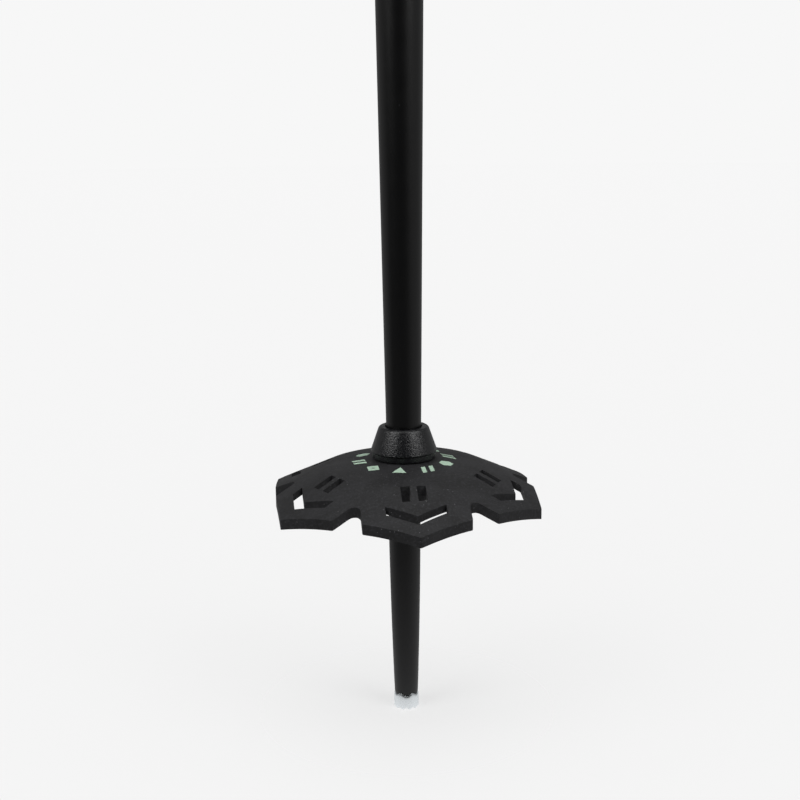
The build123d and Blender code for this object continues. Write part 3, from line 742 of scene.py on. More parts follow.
def mark_tree():
    """A ring of flat printed marks that lies on a cone round the pole."""
    tree, group = new_tree(
        "basket_marks",
        [
            ("Count", "NodeSocketInt", 10),
            ("Radius", "NodeSocketFloat", 0.0157),
            ("Width", "NodeSocketFloat", 0.0058),
            ("Thickness", "NodeSocketFloat", 0.00006),
            ("Turn", "NodeSocketFloat", 0.0),
            ("Cone Height", "NodeSocketFloat", 0.09),
            ("Cone Slope", "NodeSocketFloat", 0.17),
            ("Material", "NodeSocketMaterial", None),
        ],
    )
    width = group.outputs["Width"]

    def polygon(sides, share, turn=0.0, squeeze=1.0):
        """An outline of so many sides, as wide as a share of the mark."""
        radius = math_node(tree, "MULTIPLY", width, share / 2)
        ring = add(tree, "GeometryNodeCurvePrimitiveCircle", {"Resolution": sides, "Radius": radius})
        turned_ring = add(
            tree,
            "GeometryNodeTransform",
            {"Geometry": ring.outputs[0], "Rotation": (0, 0, turn), "Scale": (squeeze, 1, 1)},
        )
        return turned_ring.outputs[0]

    def bar(offset):
        """A slanted bar beside the mark's centre."""
        half = math_node(tree, "MULTIPLY", width, 0.27)
        long = math_node(tree, "MULTIPLY", width, 0.72)
        shape = add(
            tree,
            "GeometryNodeCurvePrimitiveQuadrilateral",
            {"Width": half, "Height": long, "Offset": half},
            mode="PARALLELOGRAM",
        )
        shift = add(tree, "ShaderNodeCombineXYZ", {1: math_node(tree, "MULTIPLY", width, offset)})
        laid = add(
            tree,
            "GeometryNodeTransform",
            {"Geometry": shape.outputs[0], "Rotation": (0, 0, math.pi / 2), "Translation": shift.outputs[0]},
        )
        return laid.outputs[0]

    def printed(*outlines):
        """Outlines joined, filled and given the ink's thickness, as one instance."""
        joined = tree.nodes.new("GeometryNodeJoinGeometry")
        for outline in outlines:
            tree.links.new(outline, joined.inputs[0])
        filled = add(tree, "GeometryNodeFillCurve", {"Curve": joined.outputs[0]}, mode="NGONS")
        thick = add(
            tree,
            "GeometryNodeExtrudeMesh",
            {"Mesh": filled.outputs[0], "Offset Scale": group.outputs["Thickness"], "Individual": False},
        )
        under = add(tree, "GeometryNodeFlipFaces", {"Mesh": filled.outputs[0]})
        solid = tree.nodes.new("GeometryNodeJoinGeometry")
        for part in (under.outputs[0], thick.outputs[0]):
            tree.links.new(part, solid.inputs[0])
        return add(tree, "GeometryNodeGeometryToInstance", {"Geometry": solid.outputs[0]}).outputs[0]

    kinds = tree.nodes.new("GeometryNodeJoinGeometry")
    quarter = math.pi / 2
    for mark in (
        printed(polygon(4, 1.0, 0.0, 0.8), polygon(4, 0.42, 0.0, 0.8)),
        printed(bar(-0.26), bar(0.26)),
        printed(polygon(6, 0.86, quarter)),
        printed(bar(-0.26), bar(0.26)),
        printed(polygon(3, 0.95, math.pi)),
    ):
        tree.links.new(mark, kinds.inputs[0])
    circle = add(
        tree,
        "GeometryNodeMeshCircle",
        {"Vertices": group.outputs["Count"], "Radius": group.outputs["Radius"]},
    )
    index = tree.nodes.new("GeometryNodeInputIndex").outputs[0]
    step = math_node(tree, "DIVIDE", TAU, group.outputs["Count"])
    spin = add(tree, "ShaderNodeCombineXYZ", {2: math_node(tree, "MULTIPLY", index, step)})
    placed = add(
        tree,
        "GeometryNodeInstanceOnPoints",
        {
            "Points": circle.outputs[0],
            "Instance": kinds.outputs[0],
            "Pick Instance": True,
            "Instance Index": math_node(tree, "MODULO", index, 5),
            "Rotation": spin.outputs[0],
        },
    )
    turn = add(tree, "ShaderNodeCombineXYZ", {2: group.outputs["Turn"]})
    ring = add(tree, "GeometryNodeTransform", {"Geometry": placed.outputs[0], "Rotation": turn.outputs[0]})
    real = add(tree, "GeometryNodeRealizeInstances", {"Geometry": ring.outputs[0]})
    fine = add(tree, "GeometryNodeSubdivideMesh", {"Mesh": real.outputs[0], "Level": 2})
    position = add(tree, "ShaderNodeSeparateXYZ", {0: tree.nodes.new("GeometryNodeInputPosition").outputs[0]})
    flat = add(tree, "ShaderNodeCombineXYZ", {0: position.outputs[0], 1: position.outputs[1]})
    distance = add(tree, "ShaderNodeVectorMath", {0: flat.outputs[0]}, operation="LENGTH").outputs["Value"]
    fall = math_node(tree, "MULTIPLY", distance, group.outputs["Cone Slope"])
    height = math_node(tree, "SUBTRACT", group.outputs["Cone Height"], fall)
    lift = add(tree, "ShaderNodeCombineXYZ", {2: height})
    laid = add(tree, "GeometryNodeSetPosition", {"Geometry": fine.outputs[0], "Offset": lift.outputs[0]})
    close_tree(tree, laid.outputs[0])
    return tree


PLATEAU_START = 11.2  # radius where the basket's upper face starts to fall, mm
PLATEAU_SLOPE = 2.8 / (27.5 - 11.2)
MARK_TURN = math.radians(-11.4)  # first mark, round from the front lobe


class POLE_OT_basket(bpy.types.Operator):
    """Build the six-lobed snow basket and the marks printed round its hub"""

    bl_idname = "pole.basket"
    bl_label = "Snow basket"

    def execute(self, context):
        details = context.scene.pole_details
        piece = finish_mesh(
            "basket_detail", copied("basket"), "snow_basket", "elastomer", ["basket"]
        )
        # A second, lighter slot for the bevel faces: a painted highlight along every edge.
        piece.data.materials.append(material("elastomer_painted_highlight"))
        soften(piece, details.basket_edge / MM, segments=3, angle=30.0, painted_highlight=1)
        hub_top = top_of("basket") * MM
        grow(
            "basket_marks",
            mark_tree(),
            {
                "Count": details.mark_count,
                "Radius": details.mark_radius,
                "Turn": FRONT + MARK_TURN,
                "Cone Slope": PLATEAU_SLOPE,
                "Cone Height": hub_top + PLATEAU_SLOPE * PLATEAU_START * MM,
            },
            "snow_basket",
            "ink",
        )
        return {"FINISHED"}


# ---- Tubes and length scale -----------------------------------------------------------------


def scale_tree():
    """Ticks printed round the front of a tube, each a short arc, with every fifth one longer."""
    tree, group = new_tree(
        "length_scale",
        [
            ("Count", "NodeSocketInt", 36),
            ("Pitch", "NodeSocketFloat", 0.01),
            ("First", "NodeSocketFloat", 0.28),
            ("Tube Radius", "NodeSocketFloat", 0.008),
            ("Thickness", "NodeSocketFloat", 0.00002),
            ("Line", "NodeSocketFloat", 0.0005),
            ("Material", "NodeSocketMaterial", None),
        ],
    )
    index = tree.nodes.new("GeometryNodeInputIndex").outputs[0]
    line = add(
        tree,
        "GeometryNodeMeshLine",
        {
            "Count": group.outputs["Count"],
            "Start Location": add(tree, "ShaderNodeCombineXYZ", {2: group.outputs["First"]}).outputs[0],
            "Offset": add(tree, "ShaderNodeCombineXYZ", {2: group.outputs["Pitch"]}).outputs[0],
        },
    )
    strip = add(
        tree,
        "GeometryNodeMeshGrid",
        {"Size X": 1.0, "Size Y": group.outputs["Line"], "Vertices X": 17, "Vertices Y": 2},
    )
    major = add(
        tree, "FunctionNodeCompare", {2: math_node(tree, "MODULO", index, 5), 3: 0}, data_type="INT"
    )
    width = add(tree, "GeometryNodeSwitch", {0: major.outputs[0], 1: 0.45, 2: 1.1}, input_type="FLOAT")
    stretch = add(tree, "ShaderNodeCombineXYZ", {0: width.outputs[0], 1: 1.0, 2: 1.0})
    placed = add(
        tree,
        "GeometryNodeInstanceOnPoints",
        {
            "Points": line.outputs[0],
            "Instance": strip.outputs[0],
            "Rotation": (math.pi / 2, 0, 0),
            "Scale": stretch.outputs[0],
        },
    )
    real = add(tree, "GeometryNodeRealizeInstances", {"Geometry": placed.outputs[0]})
    position = add(tree, "ShaderNodeSeparateXYZ", {0: tree.nodes.new("GeometryNodeInputPosition").outputs[0]})
    angle = math_node(tree, "SUBTRACT", position.outputs[0], math.pi / 2)
    radius = math_node(tree, "ADD", group.outputs["Tube Radius"], group.outputs["Thickness"])
    wrapped = add(
        tree,
        "ShaderNodeCombineXYZ",
        {
            0: math_node(tree, "MULTIPLY", math_node(tree, "COSINE", angle), radius),
            1: math_node(tree, "MULTIPLY", math_node(tree, "SINE", angle), radius),
            2: position.outputs[2],
        },
    )
    bent = add(tree, "GeometryNodeSetPosition", {"Geometry": real.outputs[0], "Position": wrapped.outputs[0]})
    close_tree(tree, bent.outputs[0])
    return tree


def wrapped_number(text, height_mm, centre_z, radius, turn):
    """Bmesh of a number wrapped on a tube, its middle at a height and a turn round from the front."""
    curve = bpy.data.curves.new("number", "FONT")
    curve.body = text
    curve.size = height_mm * MM
    curve.align_x = "CENTER"
    curve.align_y = "CENTER"
    curve.resolution_u = 6
    writing = bpy.data.objects.new("number", curve)
    bpy.context.scene.collection.objects.link(writing)
    mesh = bpy.data.meshes.new_from_object(writing.evaluated_get(bpy.context.evaluated_depsgraph_get()))
    bpy.data.objects.remove(writing)
    bm = bmesh.new()
    bm.from_mesh(mesh)
    bpy.data.meshes.remove(mesh)
    bmesh.ops.triangulate(bm, faces=bm.faces)
    for vertex in bm.verts:
        angle = FRONT + turn + vertex.co.x / radius
        vertex.co = Vector((radius * math.cos(angle), radius * math.sin(angle), vertex.co.y + centre_z))
    return bm


TAPER_TOP = 260.0
LOWER_R = 8.0
LOWER_TIP_R = 5.75
LOWER_WALL = 1.0
UPPER_R = 9.0
UPPER_WALL = 0.8
SHORTEST_CM = 105  # pole length that the first tick of the scale stands for
TICKS = 36
FIRST_TICK = 150.0  # below the lock
DIGIT_HEIGHT = 4.6
DIGIT_TURN = math.radians(64)  # middle of the numbers, round from the front
INK_LIFT = 0.02


class POLE_OT_tubes(bpy.types.Operator):
    """Build both tubes, the guide bush between them and the printed length scale"""

    bl_idname = "pole.tubes"
    bl_label = "Tubes"

    def execute(self, context):
        foot, top = foot_of("lower_shaft"), top_of("lower_shaft")
        steps = [(TAPER_TOP * k / 6 + foot * (1 - k / 6)) for k in range(7)]
        outer = [(LOWER_TIP_R + (LOWER_R - LOWER_TIP_R) * k / 6, z) for k, z in enumerate(steps)]
        outline = outer + [
            (LOWER_R, top - 0.25),
            (LOWER_R - 0.25, top),
            (LOWER_R - LOWER_WALL, top),
            (LOWER_R - LOWER_WALL, TAPER_TOP),
            (LOWER_TIP_R - LOWER_WALL, foot),
        ]
        finish_mesh("lower_shaft_detail", turned(outline), "lower", "coat", ["lower_shaft"])
        foot, top = foot_of("upper_shaft"), top_of("upper_shaft")
        bore_r, edge = UPPER_R - UPPER_WALL, 0.2
        outline = [
            (UPPER_R, foot + edge),
            (UPPER_R, top - edge),
            (UPPER_R - edge, top),
            (bore_r, top),
            (bore_r, foot),
            (UPPER_R - edge, foot),
        ]
        finish_mesh("upper_shaft_detail", turned(outline), "upper", "coat", ["upper_shaft"])
        copy_piece("guide_bush", "lower", "bush_white", "acetal", 0.25)
        self.print_scale(context.scene.pole_details.tick_pitch)
        return {"FINISHED"}

    def print_scale(self, pitch):
        """Prints the ticks and a length in centimetres beside every fifth one."""
        first = (foot_of("lock_housing") - FIRST_TICK) * MM
        grow(
            "length_scale_ticks",
            scale_tree(),
            {"Count": TICKS, "Pitch": pitch, "First": first, "Tube Radius": LOWER_R * MM},
            "lower",
            "ink",
        )
        bm = bmesh.new()
        spare = bpy.data.meshes.new("spare")
        for k in range(0, TICKS, 5):
            radius = (LOWER_R + INK_LIFT) * MM
            number = wrapped_number(
                str(SHORTEST_CM + k), DIGIT_HEIGHT, first + k * pitch, radius, DIGIT_TURN
            )
            number.to_mesh(spare)
            number.free()
            bm.from_mesh(spare)
        mesh = bpy.data.meshes.new("length_scale_numbers")
        bm.to_mesh(mesh)
        bm.free()
        bpy.data.meshes.remove(spare)
        finish_object("length_scale_numbers", mesh, "lower", "ink")


# ---- Lever lock -----------------------------------------------------------------------------


def rib_tree():
    """A row of rounded ribs along X, for a thumb to push against."""
    tree, group = new_tree(
        "lever_ribs",
        [
            ("Count", "NodeSocketInt", 5),
            ("Start", "NodeSocketVector", (0.0, 0.0, 0.0)),
            ("Step", "NodeSocketVector", (0.0, 0.0, 0.003)),
            ("Length", "NodeSocketFloat", 0.006),
            ("Radius", "NodeSocketFloat", 0.0005),
            ("Rotation", "NodeSocketVector", (0.0, 0.0, 0.0)),
            ("Material", "NodeSocketMaterial", None),
        ],
    )
    line = add(
        tree,
        "GeometryNodeMeshLine",
        {
            "Count": group.outputs["Count"],
            "Start Location": group.outputs["Start"],
            "Offset": group.outputs["Step"],
        },
    )
    ball = add(
        tree,
        "GeometryNodeMeshUVSphere",
        {"Segments": 16, "Rings": 9, "Radius": group.outputs["Radius"]},
    )
    share = math_node(tree, "DIVIDE", group.outputs["Length"], group.outputs["Radius"])
    stretch = add(tree, "ShaderNodeCombineXYZ", {0: math_node(tree, "MULTIPLY", share, 0.5), 1: 1.0, 2: 1.0})
    placed = add(
        tree,
        "GeometryNodeInstanceOnPoints",
        {
            "Points": line.outputs[0],
            "Instance": ball.outputs[0],
            "Rotation": group.outputs["Rotation"],
            "Scale": stretch.outputs[0],
        },
    )
    close_tree(tree, placed.outputs[0])
    return tree


LOCK_PIECES = (  # node, body, material slot, finish, edge rounding
    ("lock_housing", "upper", "lock_black", "filled", 0.45),
    ("lock_lever", "lever", "lever_black", "filled", 0.5),
    ("screw_knob", "screw", "lever_black", "filled", 0.25),
    ("tension_screw", "screw", "hardware_steel", "zinc", 0.15),
    ("lever_barrel", "upper", "hardware_steel", "zinc", 0.2),
    ("cam_pad", "upper", "hardware_steel", "zinc", 0.12),
    ("screw_washer", "upper", "hardware_steel", "zinc", 0.12),
)
LEVER_GAP, LEVER_WALL = 0.4, 3.2
RIB_STAND = 0.1  # from the lever's face out to the ribs' middle
RIB_TURN = math.radians(150)  # middle of the ribs round the pole
RIBS = 5
RIB_PITCH, RIB_LENGTH, RIB_R = 2.5, 8.0, 0.55


class POLE_OT_lock(bpy.types.Operator):
    """Build the lever lock: housing, lever, barrel, screw, knob, washer and cam pad"""

    bl_idname = "pole.lock"
    bl_label = "Lever lock"

    def execute(self, context):
        for piece in LOCK_PIECES:
            copy_piece(*piece)
        middle = (foot_of("lock_lever") + top_of("lock_lever")) / 2
        reach = half_of("lock_housing") + LEVER_GAP + LEVER_WALL + RIB_STAND
        start = (reach * math.cos(RIB_TURN), reach * math.sin(RIB_TURN), middle - RIB_PITCH * (RIBS - 1) / 2)
        grow(
            "lever_ribs",
            rib_tree(),
            {
                "Count": RIBS,
                "Start": [v * MM for v in start],
                "Step": (0, 0, RIB_PITCH * MM),
                "Length": RIB_LENGTH * MM,
                "Radius": RIB_R * MM,
                "Rotation": (0, 0, RIB_TURN + math.pi / 2),
            },
            "lever",
            "filled",
        )
        return {"FINISHED"}


# ---- Grip -----------------------------------------------------------------------------------


GRIP_PIECES = (  # node, material slot, finish, edge rounding, flatness kept
    ("foam_end_ring", "grip_black", "touch", 0.3, 0.6),
    ("grip_ring", "accent_mint", "trim", 0.2, 0.6),
    ("grip_head", "grip_black", "touch", 0.6, 0.2),
    ("grip_cap", "grip_black", "touch", 0.5, 0.2),
    ("grip_plug", "bush_white", "acetal", 0.2, 0.6),
    ("strap_pin", "hardware_steel", "zinc", 0.2, 0.6),
)
FOAM_BORE_R = 9.0
RING_DEPTH = 0.7  # of the grooves round the lower foam
FOAM_EDGE = 1.9
SLEEVE_ROWS, SLEEVE_COLUMNS = 118, 160
SLEEVE_SWELL = 1.4  # how far the grip's foam draws in
LATTICE_DEPTH = 0.55
LATTICE_ROWS, LATTICE_COLUMNS = 12, 10
LATTICE_HALF = 0.9  # half the width of a lattice groove
SLEEVE_FOOT, SLEEVE_EDGE = 1.6, 0.9  # height and depth of the rounding at both ends


class POLE_OT_grip(bpy.types.Operator):
    """Build both foams, the rings, the head with its cap, and the plug and pin inside"""

    bl_idname = "pole.grip"
    bl_label = "Grip"

    def execute(self, context):
        self.lower_foam(context.scene.pole_details.groove_pitch / MM)
        self.grip_foam()
        for node, slot, finish, edge, flat in GRIP_PIECES:
            copy_piece(node, "upper", slot, finish, edge, flat)
        return {"FINISHED"}

    @staticmethod
    def lower_foam(pitch):
        """The plain sleeve below the grip, turned with a shallow groove at each pitch."""
        foot, top = foot_of("lower_foam"), top_of("lower_foam")
        outer = half_of("lower_foam")
        grooves = int((top - foot - pitch) // pitch)
        margin = (top - foot - (grooves - 1) * pitch) / 2
        points = [(FOAM_BORE_R, foot), (outer, foot)]
        for k in range(grooves):
            z = foot + margin + k * pitch
            for up, depth in ((-1.5, 0), (-0.5, RING_DEPTH), (0.5, RING_DEPTH), (1.5, 0)):
                points.append((outer - depth, z + up))
        points += [(outer, top), (FOAM_BORE_R, top)]
        corners = {1: FOAM_EDGE, len(points) - 2: FOAM_EDGE}
        corners.update({i: 0.45 for i in range(2, len(points) - 2)})
        bm = turned(rounded(points, corners, steps=3), 96)
        piece = finish_mesh("lower_foam_detail", bm, "upper", "foam", ["lower_foam"], 50.0)

    @staticmethod
    def grip_foam():
        """The main foam: an oval sleeve that draws in twice, cut with a lattice of finger grooves."""
        low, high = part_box("grip_foam")
        foot, top = low.z / MM, high.z / MM
        half_x, half_y = high.x / MM, high.y / MM
        columns = SLEEVE_COLUMNS
        bm = bmesh.new()

        def swell(t):
            """How far the sleeve draws in at a share of its length, in millimetres."""
            return SLEEVE_SWELL * (0.5 - 0.5 * math.cos(4 * math.pi * t))

        def groove(t, angle):
            """Depth of the lattice at a share of the length and an angle, in millimetres."""
            if not 0.07 < t < 0.93:
                return 0.0
            along, across = t * LATTICE_ROWS, angle / TAU * LATTICE_COLUMNS
            lines = [abs((along + side * across) % 1 - 0.5) for side in (-1, 1)]
            near = min(lines) * (top - foot) / LATTICE_ROWS
            return LATTICE_DEPTH * max(0.0, 1 - (near / LATTICE_HALF) ** 2)

        outer, inner = [], []
        for row in range(SLEEVE_ROWS + 1):
            t = row / SLEEVE_ROWS
            ends = max(0.0, 1 - min(t, 1 - t) * (top - foot) / SLEEVE_FOOT)
            ring = []
            for column in range(columns):
                angle = TAU * column / columns
                inset = swell(t) + groove(t, angle) + SLEEVE_EDGE * (1 - math.sqrt(max(0.0, 1 - ends**2)))
                x = (half_x - inset) * math.cos(angle)
                y = (half_y - inset - 0.5 * swell(t)) * math.sin(angle)
                ring.append(bm.verts.new((x * MM, y * MM, (foot + (top - foot) * t) * MM)))
            outer.append(ring)
        for z in (top, foot):
            spokes = [(math.cos(TAU * c / columns), math.sin(TAU * c / columns)) for c in range(columns)]
            ring = [Vector((FOAM_BORE_R * x, FOAM_BORE_R * y, z)) * MM for x, y in spokes]
            inner.append([bm.verts.new(point) for point in ring])
        rings = outer + inner
        for a, b in zip(rings, rings[1:] + rings[:1]):
            for c in range(columns):
                d = (c + 1) % columns
                bm.faces.new((a[c], a[d], b[d], b[c]))
        piece = finish_mesh("grip_foam_detail", bm, "upper", "foam", ["grip_foam"], 60.0)


# ---- Wrist strap ----------------------------------------------------------------------------

STRAP_REST = math.radians(-35.0)  # direction of the strap's stem, up from +Y
TAPE_WIDTH = 20.0
TAPE_THICKNESS = 1.7
TAPE_STEP = 1.5  # spacing of the tape's rings along it
SELVEDGE_R = 0.7
STITCH_X = 7.6  # rows of stitches on both sides of the tape's middle
STITCH_REACH = 70.0  # how far up from the loop's foot they run


def stem_point(out, side):
    """Point beside the strap's stem, out from the pin and to one side, as (Y, Z) in millimetres."""
    low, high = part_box("strap_pin")
    y, z = (low.y + high.y) / 2 / MM, (low.z + high.z) / 2 / MM
    c, s = math.cos(STRAP_REST), math.sin(STRAP_REST)
    return y + out * c - side * s, z + out * s + side * c


def tape_path():
    """The strap's centreline as a closed list of (Y, Z) in millimetres, evenly spaced."""
    low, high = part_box("wrist_strap")
    far, foot = high.y / MM - 1.0, low.z / MM + 1.0
    apex = stem_point(30.0, 0.0)
    inner_y = apex[0] - 1.2
    corners = [
        stem_point(-2.85, 2.85),
        stem_point(12.0, 1.15),
        stem_point(29.0, 1.15),
        (far + 1.5, foot),
        (inner_y, foot),
        stem_point(30.5, -1.15),
        stem_point(12.0, -1.15),
        stem_point(-2.85, -2.85),
    ]
    curve = rounded(corners, {0: 2.8, 1: 20, 2: 14, 3: 18.5, 4: 20.5, 5: 6, 6: 20, 7: 2.8}, steps=12)
    points = [Vector(p) for p in curve]
    lengths = [0.0]
    for a, b in zip(points, points[1:] + points[:1]):
        lengths.append(lengths[-1] + (b - a).length)
    total = lengths[-1]
    count = int(total / TAPE_STEP)
    even, k = [], 0
    for i in range(count):
        at = total * i / count
        while lengths[k + 1] < at:
            k += 1
        share = (at - lengths[k]) / (lengths[k + 1] - lengths[k])
        even.append(points[k].lerp(points[(k + 1) % len(points)], share))
    return even, total


def tape_frame(path, i):
    """Direction and outward normal of the strap at a point of its path."""
    ahead = (path[(i + 1) % len(path)] - path[i - 1]).normalized()
    return ahead, Vector((-ahead.y, ahead.x))


def stitch_tree():
    """Capsule-shaped stitches on every point of a mesh line, each turned along it."""
    tree, group = new_tree(
        "strap_stitches",
        [
            ("Line", "NodeSocketObject", None),
            ("Pitch", "NodeSocketFloat", 0.0032),
            ("Length", "NodeSocketFloat", 0.0022),
            ("Radius", "NodeSocketFloat", 0.00032),
            ("Material", "NodeSocketMaterial", None),
        ],
    )
    source = add(tree, "GeometryNodeObjectInfo", {"Object": group.outputs["Line"]})
    curve = add(tree, "GeometryNodeMeshToCurve", {"Mesh": source.outputs["Geometry"]})
    points = add(
        tree,
        "GeometryNodeCurveToPoints",
        {"Curve": curve.outputs[0], "Length": group.outputs["Pitch"]},
        mode="LENGTH",
    )
    ball = add(
        tree,
        "GeometryNodeMeshUVSphere",
        {"Segments": 10, "Rings": 7, "Radius": group.outputs["Radius"]},
    )
    share = math_node(tree, "DIVIDE", group.outputs["Length"], group.outputs["Radius"])
    stretch = add(tree, "ShaderNodeCombineXYZ", {0: 1.0, 1: 0.7, 2: math_node(tree, "MULTIPLY", share, 0.5)})
    placed = add(
        tree,
        "GeometryNodeInstanceOnPoints",
        {
            "Points": points.outputs["Points"],
            "Instance": ball.outputs[0],
            "Rotation": points.outputs["Rotation"],
            "Scale": stretch.outputs[0],
        },
    )
    close_tree(tree, placed.outputs[0])
    return tree


class POLE_OT_strap(bpy.types.Operator):
    """Build the webbing wrist strap with its stitches and keeper"""

    bl_idname = "pole.strap"
    bl_label = "Wrist strap"

    def execute(self, context):
        path, total = tape_path()
        self.tape(path, total)
        self.stitches(path, context.scene.pole_details.stitch_pitch)
        copy_piece("strap_keeper", "strap", "grip_black", "touch", 0.4)
        return {"FINISHED"}

    @staticmethod
    def tape(path, total):
        """The tape: a closed ribbon with round selvedges, its UV in metres along and across it."""
        half, thick = TAPE_WIDTH / 2, TAPE_THICKNESS / 2
        section = rounded(
            [(-half, -thick), (half, -thick), (half, thick), (-half, thick)],
            dict.fromkeys(range(4), SELVEDGE_R),
            steps=3,
        )
        bm = bmesh.new()
        uv = bm.loops.layers.uv.new("UVMap")
        rings = []
        for i, point in enumerate(path):
            normal = tape_frame(path, i)[1]
            rings.append(
                [bm.verts.new(Vector((x, *(point + normal * n))) * MM) for x, n in section]
            )
        step = total / len(path)
        for i in range(len(rings)):
            a, b = rings[i], rings[(i + 1) % len(rings)]
            for c in range(len(section)):
                d = (c + 1) % len(section)
                face = bm.faces.new((a[c], a[d], b[d], b[c]))
                spots = [(i * step, c), (i * step, d), ((i + 1) * step, d), ((i + 1) * step, c)]
                for loop, (along, k) in zip(face.loops, spots):
                    loop[uv].uv = (along * MM, section[k][0] * MM)
        finish_mesh("wrist_strap_tape", bm, "strap", "webbing", ["wrist_strap"], sharp=50.0)

    @staticmethod
    def stitches(path, pitch):
        """Two rows of stitches round the foot of the loop, on its outer face."""
        foot = min(p.y for p in path)
        chosen = [i for i, p in enumerate(path) if p.y < foot + STITCH_REACH]
        guide = bpy.data.meshes.new("stitch_guide")
        vertices, edges = [], []
        for x in (-STITCH_X, STITCH_X):
            for k, i in enumerate(chosen):
                spot = path[i] + tape_frame(path, i)[1] * (TAPE_THICKNESS / 2 + INK_LIFT)
                vertices.append(Vector((x, spot.x, spot.y)) * MM)
                if k:
                    edges.append((len(vertices) - 2, len(vertices) - 1))
        guide.from_pydata(vertices, edges, [])
        line = bpy.data.objects.new("stitch_guide", guide)
        bpy.context.scene.collection.objects.link(line)
        values = {"Line": line, "Pitch": pitch}
        grow("strap_stitches", stitch_tree(), values, "strap", "thread")
        bpy.data.objects.remove(line)


# ---- Stage ----------------------------------------------------------------------------------


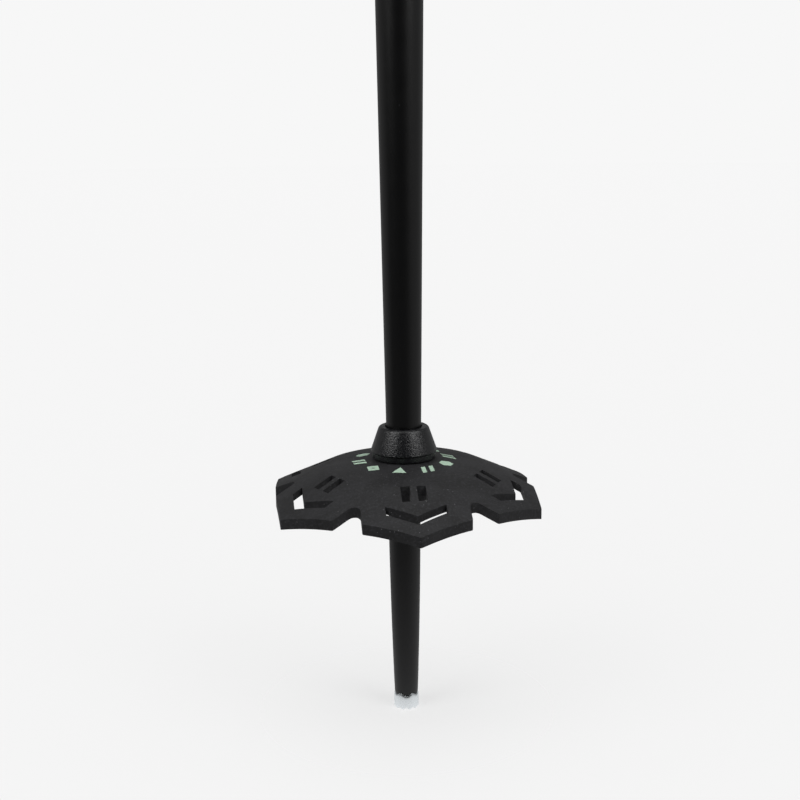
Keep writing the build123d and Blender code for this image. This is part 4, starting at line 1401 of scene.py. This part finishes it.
class POLE_OT_stage(bpy.types.Operator):
    """Set up the camera, the pale floor and the studio light"""

    bl_idname = "pole.stage"
    bl_label = "Stage"

    ELEVATION = math.radians(12.08)  # camera above the horizon
    ROLL = math.radians(-0.632)
    TURN = math.radians(-5.72)  # camera round from the front lobe
    DISTANCE = 0.45248
    AIM_HEIGHT = 0.0781
    AIM_RIGHT = 0.00152  # how far the aim point stands right of and below the optical axis
    AIM_UP = -0.033369
    FLOOR_FADE = 0.05  # distance at which the floor is half faded into the backdrop
    FLOOR_GLOW = 0.68  # share of the backdrop's brightness that the floor gives off itself
    GRIP_HEIGHT = 1.0  # where the lights on the pole's upper half are aimed
    DARK_WALL = 0.022  # brightness of the studio's walls behind the camera and overhead
    PALE_WALL = 0.26  # and beside and behind the object

    def execute(self, context):
        settings = context.scene.pole_stage
        self.camera(settings.lens)
        self.floor(settings.backdrop)
        self.world(settings.backdrop)
        self.softbox("softbox_right", 52, 42, 0.9, (0.45, 0.6), settings.key)
        self.softbox("softbox_left", -56, 42, 0.9, (0.45, 0.6), settings.fill)
        self.softbox("softbox_top", 180, 84, 1.9, (1.3, 1.3), settings.top)
        for name, azimuth in (("right", 50), ("left", -60), ("back", 170)):
            self.softbox(f"grip_{name}", azimuth, 12, 1.1, (0.4, 0.4), settings.grip, self.GRIP_HEIGHT, 60)
        context.scene.view_settings.view_transform = "Standard"
        return {"FINISHED"}

    def camera(self, lens):
        """A camera that looks down a little at the basket from its front."""
        turn = Matrix.Rotation(self.TURN, 3, "Z")
        c, s = math.cos(self.ELEVATION), math.sin(self.ELEVATION)
        right, up, ahead = (turn @ Vector(v) for v in ((1, 0, 0), (0, s, c), (0, c, -s)))
        cr, sr = math.cos(self.ROLL), math.sin(self.ROLL)
        right, up = right * cr + up * sr, up * cr - right * sr
        data = bpy.data.cameras.new("camera")
        data.lens = lens
        data.sensor_width = 36.0
        data.clip_start = 0.01
        made = bpy.data.objects.new("camera", data)
        bpy.context.scene.collection.objects.link(made)
        aim = Vector((0, 0, self.AIM_HEIGHT))
        spot = aim - right * self.AIM_RIGHT - up * self.AIM_UP - ahead * self.DISTANCE
        made.matrix_world = Matrix.Translation(spot) @ Matrix((right, up, -ahead)).transposed().to_4x4()
        bpy.context.scene.camera = made

    def floor(self, brightness):
        """A pale disc that fades into the backdrop with distance."""
        bm = bmesh.new()
        bmesh.ops.create_circle(bm, cap_ends=True, segments=96, radius=6.0)
        mesh = bpy.data.meshes.new("floor")
        bm.to_mesh(mesh)
        bm.free()
        made = bpy.data.objects.new("floor", mesh)
        bpy.context.scene.collection.objects.link(made)
        surface = bpy.data.materials.new("pale_floor")
        surface.use_nodes = True
        tree = surface.node_tree
        tree.nodes.clear()
        distance = add(tree, "ShaderNodeVectorMath", {0: place(tree)}, operation="LENGTH").outputs["Value"]
        apart = math_node(tree, "ADD", distance, self.FLOOR_FADE)
        solid = math_node(tree, "DIVIDE", self.FLOOR_FADE, apart)
        matt = add(tree, "ShaderNodeBsdfDiffuse", {"Color": (0.35, 0.35, 0.35, 1)})
        strength = self.FLOOR_GLOW * brightness
        glow = add(tree, "ShaderNodeEmission", {"Color": (1, 1, 1, 1), "Strength": strength})
        lit = add(tree, "ShaderNodeAddShader", {0: matt.outputs[0], 1: glow.outputs[0]})
        clear = add(tree, "ShaderNodeBsdfTransparent", {0: (1, 1, 1, 1)})
        mixed = add(tree, "ShaderNodeMixShader", {0: solid, 1: clear.outputs[0], 2: lit.outputs[0]})
        add(tree, "ShaderNodeOutputMaterial", {"Surface": mixed.outputs[0]})
        mesh.materials.append(surface)

    def world(self, brightness):
        """A plain pale backdrop, brighter behind the object than in front of it."""
        made = bpy.data.worlds.new("studio")
        bpy.context.scene.world = made
        made.use_nodes = True
        tree = made.node_tree
        tree.nodes.clear()
        split = add(tree, "ShaderNodeSeparateXYZ", {0: add(tree, "ShaderNodeTexCoord").outputs["Generated"]})
        smooth = {"interpolation_type": "SMOOTHSTEP"}
        right = add(tree, "ShaderNodeMapRange", {0: split.outputs[0], 1: 0.3, 2: 0.95}, **smooth).outputs[0]
        back = add(tree, "ShaderNodeMapRange", {0: split.outputs[1], 1: -0.3, 2: 0.2}, **smooth).outputs[0]
        low = add(tree, "ShaderNodeMapRange", {0: split.outputs[2], 1: 0.9, 2: 0.3}, **smooth).outputs[0]
        wall = math_node(tree, "MULTIPLY", math_node(tree, "MAXIMUM", right, back), low)
        level = add(tree, "ShaderNodeMapRange", {0: wall, 3: self.DARK_WALL, 4: self.PALE_WALL}).outputs[0]
        dim = add(tree, "ShaderNodeBackground", {"Color": (1, 1, 1, 1), "Strength": level})
        plain = add(tree, "ShaderNodeBackground", {"Color": (1, 1, 1, 1), "Strength": brightness})
        seen = add(tree, "ShaderNodeLightPath").outputs["Is Camera Ray"]
        mixed = add(tree, "ShaderNodeMixShader", {0: seen, 1: dim.outputs[0], 2: plain.outputs[0]})
        add(tree, "ShaderNodeOutputWorld", {"Surface": mixed.outputs[0]})

    def softbox(self, name, azimuth, elevation, distance, size, power, height=0.1, spread=180):
        """A rectangular light aimed at a height on the pole, at an azimuth round from the camera's side."""
        data = bpy.data.lights.new(name, "AREA")
        data.shape = "RECTANGLE"
        data.size, data.size_y = size
        data.energy = power
        data.spread = math.radians(spread)
        made = bpy.data.objects.new(name, data)
        bpy.context.scene.collection.objects.link(made)
        a, e = math.radians(azimuth) + self.TURN, math.radians(elevation)
        toward = Vector((math.sin(a) * math.cos(e), -math.cos(a) * math.cos(e), math.sin(e)))
        made.location = Vector((0, 0, height)) + toward * distance
        made.rotation_mode = "QUATERNION"
        made.rotation_quaternion = toward.to_track_quat("Z", "Y")
        made.visible_camera = False


# ---- Panel and registration -----------------------------------------------------------------

OPERATORS = (
    POLE_OT_tip,
    POLE_OT_collar,
    POLE_OT_basket,
    POLE_OT_tubes,
    POLE_OT_lock,
    POLE_OT_grip,
    POLE_OT_strap,
    POLE_OT_stage,
)


class POLE_PT_panel(bpy.types.Panel):
    """Lists the pole's settings and the operators that build it"""

    bl_idname = "POLE_PT_panel"
    bl_label = "Trekking Pole"
    bl_space_type = "VIEW_3D"
    bl_region_type = "UI"
    bl_category = "Pole"

    def draw(self, context):
        for group in (context.scene.pole_finishes, context.scene.pole_details, context.scene.pole_stage):
            box = self.layout.box()
            for key in group.__annotations__:
                box.prop(group, key)
        for operator in OPERATORS:
            self.layout.operator(operator.bl_idname)


CLASSES = (PoleFinishes, PoleDetails, PoleStage, *OPERATORS, POLE_PT_panel)


def register():
    """Registers the classes and hangs the settings on the scene."""
    for cls in CLASSES:
        bpy.utils.register_class(cls)
    bpy.types.Scene.pole_finishes = PointerProperty(type=PoleFinishes)
    bpy.types.Scene.pole_details = PointerProperty(type=PoleDetails)
    bpy.types.Scene.pole_stage = PointerProperty(type=PoleStage)


def unregister():
    """Undoes register."""
    del bpy.types.Scene.pole_finishes, bpy.types.Scene.pole_details, bpy.types.Scene.pole_stage
    for cls in reversed(CLASSES):
        bpy.utils.unregister_class(cls)


def main():
    register()
    MATERIALS.update(make_materials(bpy.context.scene.pole_finishes))
    for operator in OPERATORS:
        group, name = operator.bl_idname.split(".")
        getattr(getattr(bpy.ops, group), name)()


if __name__ == "__main__":
    main()
